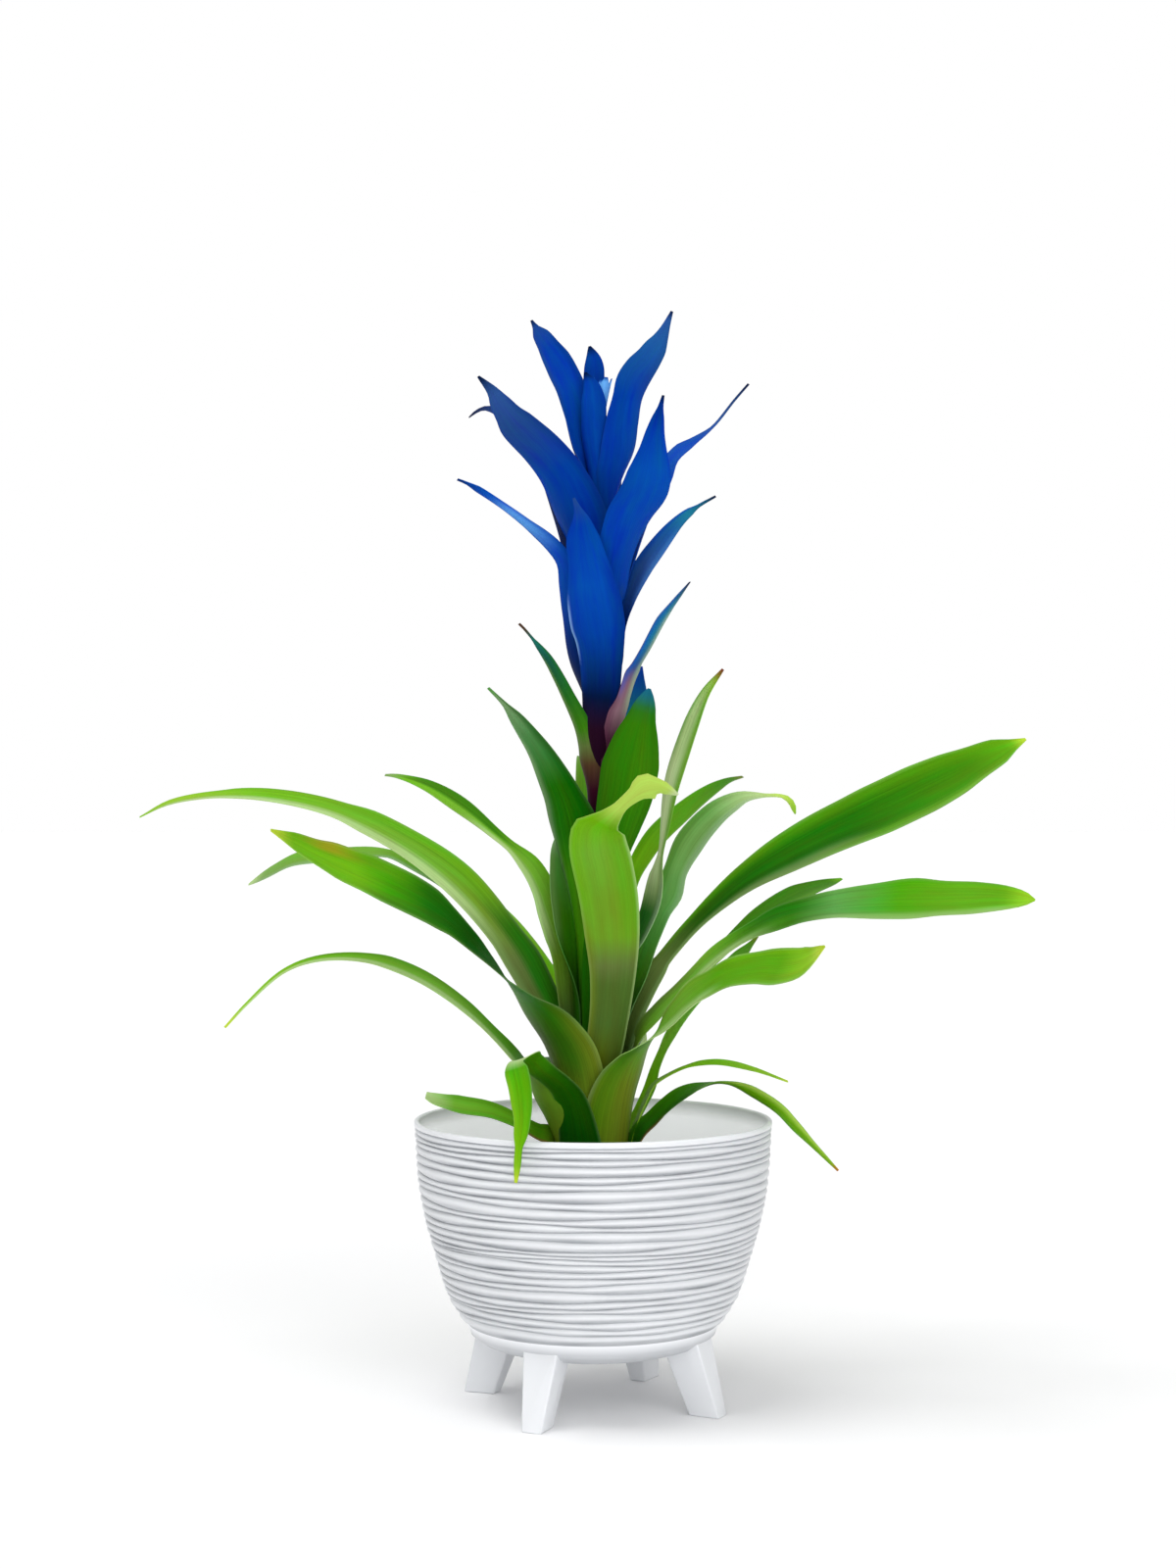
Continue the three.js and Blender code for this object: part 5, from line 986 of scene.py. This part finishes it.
plastic = makePlastic(plasticValues)
bowlValues = {
    "rimHeight": 159.4, "rimRadius": 100, "wall": 3, "bottom": 31, "lip": 1.3, "lipSteps": 6, "bareRim": 0.8,
    "foot": [(31, 35), (31.5, 40), (32.2, 46), (33.1, 52), (34.6, 57), (38, 63.2), (42.5, 68.2)],
    # The outer wall's radius at each height, from where the ridged part starts
    "wallFoot": 46,
    "wallRadii": {46: 71.4, 62: 81.2, 83.9: 88.3, 105.7: 94.3, 127.6: 98.1, 159.4: 100},
    "inner": [150, 139, 127.6, 105.7, 83.9, 62, 50, 41],
    "innerFloor": [(62, 36.5), (55, 35.4), (40, 35), (0.0, 35)],
    # Heights where each ridge's bright back shows at the front, from the rim down
    "ridges": [154.4, 151.6, 148.6, 144.2, 140, 136.3, 131.3, 126.3, 122, 117, 112.9, 108.6, 104.2, 100.2,
               96.8, 94, 91.2, 87.6, 83.8, 79.8, 75.8, 71.5, 67.2, 63.6, 59.4, 55.4, 51.6],
    "lowest": 47.6, "columns": 320, "rowsPerRidge": 9,
    "ridgeDepth": 1.9, "ridgeDroop": 0.85, "fullRidge": 3, "creaseLift": 1.3, "leastGap": 0.25,
    # How far the creases wander, and each wave of it: its share, its count round the bowl and its shifts
    "wander": 1.2, "waves": [(1, 1, 2.1, 0.4), (0.5, 3, -1.3, 0.9), (0.22, 9, 3.7, 0)],
    # Painted shade at a ridge's top and foot, on its underside and on the bare foot below the ridges, and the
    # painted glow over the inner wall
    "topShade": 0.3, "lowShade": 0.6, "underShade": 0.95, "footShade": 0.4, "paintedGlow": 0.42,
}


def wallRadius(height):
    return smoothValue(bowlValues["wallRadii"], height)


# The creases' heights at an angle: they wander up and down, and where two meet they run as one
def creasesAt(angle, creases):
    heights = []
    for k, height in enumerate(creases):
        if 0 < k < len(creases) - 1:
            restless = 0.5 + 0.5 * math.sin(2.4 * k + 1)
            for share, count, first, second in bowlValues["waves"]:
                size = bowlValues["wander"] * share * (restless if count == 1 else 1)
                height += size * math.sin(count * angle + first * k + second * k * k)
        heights.append(height)
    for k in range(1, len(heights)):
        heights[k] = min(heights[k], heights[k - 1] - bowlValues["leastGap"])
    return heights


# The bowl's outline from the middle of its bottom, over the rim and down inside, and each ridge row's place
def bowlOutline(values, creases):
    heights, rowOf = [], {}
    for k in range(len(creases) - 2, -1, -1):
        low, high = creases[k + 1], creases[k]
        for j in range(values["rowsPerRidge"]):
            heights.append(low + (high - low) * j / values["rowsPerRidge"])
            rowOf[round(heights[-1], 2)] = (k, j / values["rowsPerRidge"])
    rowOf[round(creases[0], 2)] = (0, 1)
    lip, rim, radius, wall = values["lip"], values["rimHeight"], values["rimRadius"], values["wall"]
    outline = [(0.0, values["bottom"])]
    outline += [(reach, height) for height, reach in values["foot"]]
    heights += [creases[0], creases[0] + values["bareRim"], rim - lip]
    outline += [(wallRadius(height), height) for height in heights]
    for k in range(1, values["lipSteps"]):
        turn = math.pi * k / values["lipSteps"]
        outline.append((radius - wall / 2 + wall / 2 * math.cos(turn), rim - lip + lip * math.sin(turn)))
    outline.append((radius - wall, rim - lip))
    outline += [(wallRadius(max(height, values["wallFoot"])) - wall, height) for height in values["inner"]]
    return outline + values["innerFloor"], rowOf


def makeBowl(values):
    creases = [ridge + values["creaseLift"] for ridge in values["ridges"]] + [values["lowest"]]
    outline, rowOf = bowlOutline(values, creases)
    bowl = spinOutline("ridged_bowl", outline, values["columns"])
    for name in ("paintedShade", "paintedGlow"):
        bowl.data.attributes.new(name, "FLOAT", "POINT")
    paintedShade, paintedGlow = bowl.data.attributes["paintedShade"].data, bowl.data.attributes["paintedGlow"].data
    wall, rim = values["wall"], values["rimHeight"]
    cache = {}
    for vertex in bowl.data.vertices:
        x, y, z = vertex.co / mm
        reach = math.hypot(x, y)
        # Painted glow over the inner wall, fading out just under the rim
        if z > values["wallFoot"] and reach < wallRadius(z) - wall * 0.9:
            paintedGlow[vertex.index].value = values["paintedGlow"] * smoothStep(rim - 1, rim - 4, z)
        # Painted shade on the bare foot under the ridges
        elif z < values["lowest"]:
            paintedShade[vertex.index].value = values["footShade"]
        row = rowOf.get(round(z, 2))
        if row is None or reach < wallRadius(z) - wall / 2:
            continue
        angle = math.atan2(y, x)
        key = round(angle, 4)
        if key not in cache:
            cache[key] = creasesAt(angle, creases)
        k, share = row
        high, low = cache[key][k], cache[key][k + 1]
        height = low + (high - low) * share
        bulge = math.sin(math.pi * share ** values["ridgeDroop"])
        depth = values["ridgeDepth"] * min(1, (high - low) / values["fullRidge"])
        newReach = wallRadius(height) - depth * (1 - bulge) - values["ridgeDepth"] + depth
        vertex.co = Vector((x / reach * newReach, y / reach * newReach, height)) * mm
        # Painted shade: darker in patches on each ridge's lower, down-facing part, and in the creases, most
        # at a ridge's foot
        patch = noise.noise(Vector((3 * math.cos(angle), 3 * math.sin(angle), height / 3)))
        below = smoothStep(0.65, 0.12, share) * values["underShade"] * (0.65 + 0.5 * patch)
        between = (1 - bulge) ** 2 * (values["lowShade"] if share < 0.35 else values["topShade"])
        paintedShade[vertex.index].value = max(between, below)
    bpy.ops.object.shade_smooth_by_angle(angle=math.radians(60))
    bowl.data.materials.append(plastic)
    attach(bowl, body)
    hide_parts("pot_bowl")
    return bowl


makeBowl(bowlValues)
print("bowl made")

legValues = {
    "angles": {"front_left": 244.8, "front_right": 334.8, "back_right": 64.8, "back_left": 154.8},
    "footReach": 78.6, "footDepth": 18.3, "footWidth": 12,
    "topHeight": 52, "topReach": 64.5, "topDepth": 25, "topWidth": 23,
    "innerTaper": 0.8, "edge": 1.1, "sink": 0.6, "trimFoot": [(46, 71.4), (62, 81.2), (72, 84)],
}


# One leg on the +X side: a block with a narrow foot, trimmed to the bowl it stands under
def makeLeg(values):
    bpy.ops.object.select_all(action="DESELECT")
    bpy.ops.mesh.primitive_cube_add(size=1)
    leg = bpy.context.object
    for vertex in leg.data.vertices:
        high, outer, left = vertex.co.z > 0, vertex.co.x > 0, vertex.co.y > 0
        end = "top" if high else "foot"
        reach = values[end + "Reach"] - (0 if outer else values[end + "Depth"])
        half = values[end + "Width"] / 2 * (1 if outer else values["innerTaper"])
        height = values["topHeight"] if high else 0
        vertex.co = Vector((reach, half if left else -half, height)) * mm
    rounding = leg.modifiers.new("softEdges", "BEVEL")
    rounding.width = values["edge"] * mm
    rounding.segments = 3
    bpy.ops.object.modifier_apply(modifier="softEdges")
    sink = values["sink"]
    under = [*bowlValues["foot"], *values["trimFoot"]]
    outline = [(0.0, values["topHeight"] + 20)]
    outline += [(radius - sink, height + sink) for height, radius in under[::-1]]
    outline.append((0.0, bowlValues["bottom"] + sink))
    cutter = spinOutline("leg_cutter", outline, 96)
    trim = leg.modifiers.new("bowlTrim", "BOOLEAN")
    trim.operation = "DIFFERENCE"
    trim.object = cutter
    bpy.ops.object.select_all(action="DESELECT")
    bpy.context.view_layer.objects.active = leg
    leg.select_set(True)
    bpy.ops.object.modifier_apply(modifier="bowlTrim")
    bpy.data.objects.remove(cutter)
    bpy.ops.object.shade_smooth_by_angle(angle=math.radians(40))
    leg.data.materials.append(plastic)
    return leg


def placeLegs(values):
    pattern = makeLeg(values)
    for place, azimuth in values["angles"].items():
        leg = pattern.copy()
        leg.data = pattern.data.copy()
        leg.name = place + "_bowl_leg"
        bpy.context.collection.objects.link(leg)
        bpy.ops.object.select_all(action="DESELECT")
        leg.select_set(True)
        bpy.context.view_layer.objects.active = leg
        leg.rotation_euler = (0, 0, math.radians(azimuth))
        bpy.ops.object.transform_apply(location=False, rotation=True, scale=False)
        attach(leg, body)
        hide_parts(place + "_leg")
    bpy.data.objects.remove(pattern)


placeLegs(legValues)
print("legs made")

# The soil's top is crowned and lumpy: each lump field is (height, width, roughness, detail), in millimetres.
# Crumbs lie on it, each with a size and a stretch drawn between two values.
soilValues = {
    "edge": 127, "crown": 4, "gap": 0.35, "topSteps": 46, "turns": 220,
    "floor": [(0.0, 35.4), (40, 35.4), (52, 36.2), (61.65, 37.5)], "side": [41, 50, 62, 83.9, 105.7, 120],
    "lumps": [(2.0, 16, 1, 3), (1.1, 4, 0.9, 4)], "highestLump": 2.2, "edgeFade": 3,
    "crumbs": 900, "seed": 11, "crumbGap": 3, "crumbReach": 16, "crumbSize": (0.8, 2.4), "bigCrumb": 1.5,
    "bigShare": 0.12, "stretch": ((0.8, 1.9), (0.6, 1.1), (0.45, 0.8)), "lift": (-0.2, 1.0),
    "uneven": (0.75, 1.2),
}
peatValues = {
    "lumps": (160, 160, 160), "fibres": (900, 500, 700), "contrast": 3.2, "darkest": -0.45,
    "roughness": 0.92, "relief": 1.2,
}


def makePeat(values):
    group, given, result = newGroup("peatGrain", [
        ("Dark", "NodeSocketColor", None), ("Light", "NodeSocketColor", None),
    ], [("Colour", "NodeSocketColor"), ("Height", "NodeSocketFloat")])
    place = addNode(group, "ShaderNodeTexCoord").outputs["Object"]
    lumps = scaledNoise(group, place, values["lumps"], 5)
    fibres = scaledNoise(group, place, values["fibres"], 3)
    share = mathNode(group, "MULTIPLY", lumps, fibres)
    share = mathNode(group, "MULTIPLY_ADD", share, values["contrast"], values["darkest"])
    colour = mixedTone(group, share, given.outputs["Dark"], given.outputs["Light"])
    group.links.new(colour, result.inputs["Colour"])
    group.links.new(mathNode(group, "ADD", lumps, fibres), result.inputs["Height"])
    peat, tree, shader = newMaterial("darkPeat")
    grain = addNode(tree, "ShaderNodeGroup", node_tree=group)
    grain.inputs["Dark"].default_value = (*linearTone("peat"), 1)
    grain.inputs["Light"].default_value = (*linearTone("bark"), 1)
    shader.inputs["Roughness"].default_value = values["roughness"]
    dress(tree, grain, shader, values["relief"], 0.8)
    return peat


# The height of the soil's crown at a share of the way from its middle to its edge
def crownAt(values, share):
    return values["edge"] + values["crown"] * (1 - share ** 2)


def makeSoil(values):
    inset = bowlValues["wall"] + values["gap"]
    wallFoot = bowlValues["wallFoot"]
    outline = [*values["floor"]]
    outline += [(wallRadius(max(height, wallFoot)) - inset, height) for height in values["side"]]
    edge = wallRadius(values["edge"]) - inset
    steps = values["topSteps"]
    outline += [(edge * (1 - k / steps), crownAt(values, 1 - k / steps)) for k in range(steps)]
    outline.append((0.0, values["edge"] + values["crown"]))
    soil = spinOutline("potting_soil", outline, values["turns"])
    for vertex in soil.data.vertices:
        x, y, z = vertex.co / mm
        if z < values["edge"] - 0.5:
            continue
        spot = Vector((x, y, 0))
        lumps = sum(size * noise.fractal(spot / width, rough, 2, detail)
                    for size, width, rough, detail in values["lumps"])
        fade = smoothStep(edge, edge - values["edgeFade"], math.hypot(x, y))
        vertex.co.z = (z + min(lumps, values["highestLump"]) * fade) * mm
    bpy.ops.object.shade_smooth()
    soil.data.materials.append(peat)
    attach(soil, body)
    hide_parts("soil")
    return soil


def scatterCrumbs(values):
    bpy.ops.object.select_all(action="DESELECT")
    bpy.ops.mesh.primitive_ico_sphere_add(subdivisions=1, radius=1)
    pattern = bpy.context.object
    draw = random.Random(values["seed"])
    chunk = [vertex.co.copy() for vertex in pattern.data.vertices]
    faces = [tuple(face.vertices) for face in pattern.data.polygons]
    points, made = [], []
    edge = wallRadius(values["edge"]) - bowlValues["wall"] - values["crumbGap"]
    for _ in range(values["crumbs"]):
        reach = math.sqrt(draw.uniform(values["crumbReach"] ** 2, edge ** 2))
        angle = draw.uniform(0, 2 * math.pi)
        size = draw.uniform(*values["crumbSize"])
        size *= values["bigCrumb"] if draw.random() < values["bigShare"] else 1
        stretch = Vector([draw.uniform(*span) for span in values["stretch"]])
        spin = draw.uniform(0, math.pi)
        height = crownAt(values, reach / edge) + draw.uniform(*values["lift"])
        middle = Vector((reach * math.cos(angle), reach * math.sin(angle), height))
        base = len(points)
        for corner in chunk:
            local = corner * stretch * (size * draw.uniform(*values["uneven"]))
            turned = Vector((local.x * math.cos(spin) - local.y * math.sin(spin),
                             local.x * math.sin(spin) + local.y * math.cos(spin), local.z))
            points.append((middle + turned) * mm)
        made += [tuple(base + k for k in face) for face in faces]
    mesh = bpy.data.meshes.new("soilCrumbs")
    mesh.from_pydata(points, [], made)
    crumbs = bpy.data.objects.new("soil_crumbs", mesh)
    bpy.context.collection.objects.link(crumbs)
    bpy.data.objects.remove(pattern)
    crumbs.data.materials.append(peat)
    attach(crumbs, body)
    return crumbs


peat = makePeat(peatValues)
makeSoil(soilValues)
scatterCrumbs(soilValues)
print("soil filled")


def makeStemSkin(values):
    skin, tree, shader = newMaterial("stemSkin")
    grain = addNode(tree, "ShaderNodeGroup", node_tree=bladeGrain)
    tint = addNode(tree, "ShaderNodeAttribute", attribute_name="stemTint")
    tree.links.new(tint.outputs["Color"], grain.inputs["Tint"])
    grain.inputs["Veins"].default_value = values["veins"]
    grain.inputs["Blotches"].default_value = values["blotches"]
    place = addNode(tree, "ShaderNodeTexCoord").outputs["Object"]
    tree.links.new(stretched(tree, place, values["grainStretch"]), grain.inputs["Map"])
    dress(tree, grain, shader, values["relief"], 0.6)
    return skin


def makeStalk(values):
    route = [Vector(point) for point in values["route"]]
    line, _ = evenLine(route, values["rings"])
    bpy.ops.object.select_all(action="DESELECT")
    bpy.ops.mesh.primitive_cylinder_add(vertices=values["sides"], radius=1, depth=2, end_fill_type="TRIFAN")
    stalk = bpy.context.object
    stalk.name = "flower_stem"
    bpy.ops.object.mode_set(mode="EDIT")
    for k in range(1, values["rings"]):
        bpy.ops.mesh.select_all(action="SELECT")
        bpy.ops.mesh.bisect(plane_co=(0, 0, -1 + 2 * k / values["rings"]), plane_no=(0, 0, 1))
    bpy.ops.object.mode_set(mode="OBJECT")
    radii = {k / (len(values["radii"]) - 1): radius for k, radius in enumerate(values["radii"])}
    for vertex in stalk.data.vertices:
        t = (vertex.co.z + 1) / 2
        centre = line[round(t * values["rings"])]
        radius = smoothValue(radii, t)
        vertex.co = Vector((centre.x + vertex.co.x * radius, centre.y + vertex.co.y * radius, centre.z)) * mm
    tint = stalk.data.attributes.new("stemTint", "FLOAT_COLOR", "POINT").data
    for vertex in stalk.data.vertices:
        tint[vertex.index].color = (*toneAlong(values["tones"], vertex.co.z / (route[-1].z * mm)), 1)
    bpy.ops.object.shade_smooth_by_angle(angle=math.radians(50))
    stalk.data.materials.append(makeStemSkin(values))
    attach(stalk, body)
    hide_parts("flower_stalk")
    return stalk


makeStalk(stalkValues)
print("stalk made")

petalValues = {
    "turns": [-60, 12, 84, 156, 228], "budHeight": 20, "budRadius": 2.6, "budTaper": 0.35, "budBase": 540.4,
    "midrib": [(1.2, 544.4), (3, 556.4), (5, 566.4), (6.5, 572.4)], "halfWidth": {0.5: 3.2, 0.8: 3, 1: 1},
    "wrap": 60, "bud": "sky",
}


# Five narrow petals round a slim bud on the stalk's tip, joined as one piece
def openFlower(values):
    parts = []
    for turn in values["turns"]:
        petal = {"node": "flower_petals", "coat": "petal", "azimuth": turn, "wrap": values["wrap"],
                 "midrib": values["midrib"], "halfWidth": values["halfWidth"]}
        parts.append(growBlade(petal, [petal], ("bractTop", "bractUnder"), True))
    bpy.ops.object.select_all(action="DESELECT")
    bpy.ops.mesh.primitive_uv_sphere_add(segments=24, ring_count=16, radius=1)
    bud = bpy.context.object
    middle = stalkAxis(values["budBase"])
    for vertex in bud.data.vertices:
        x, y, z = vertex.co
        waist = values["budRadius"] * (1 - values["budTaper"] * z)
        height = values["budBase"] + values["budHeight"] * (z + 1) / 2
        vertex.co = Vector((middle.x + x * waist, middle.y + y * waist, height)) * mm
    bpy.ops.object.shade_smooth()
    for name in ("topTint", "underTint"):
        tint = bud.data.attributes.new(name, "FLOAT_COLOR", "POINT").data
        for vertex in bud.data.vertices:
            tint[vertex.index].color = (*linearTone(values["bud"]), bladeValues["veins"])
    bud.data.materials.append(skins["bractTop"])
    for piece in parts:
        piece.select_set(True)
    bpy.context.view_layer.objects.active = parts[0]
    bpy.ops.object.join()
    flower = bpy.context.object
    flower.name = "open_petals"
    return flower


openFlower(petalValues)
print("flower made")
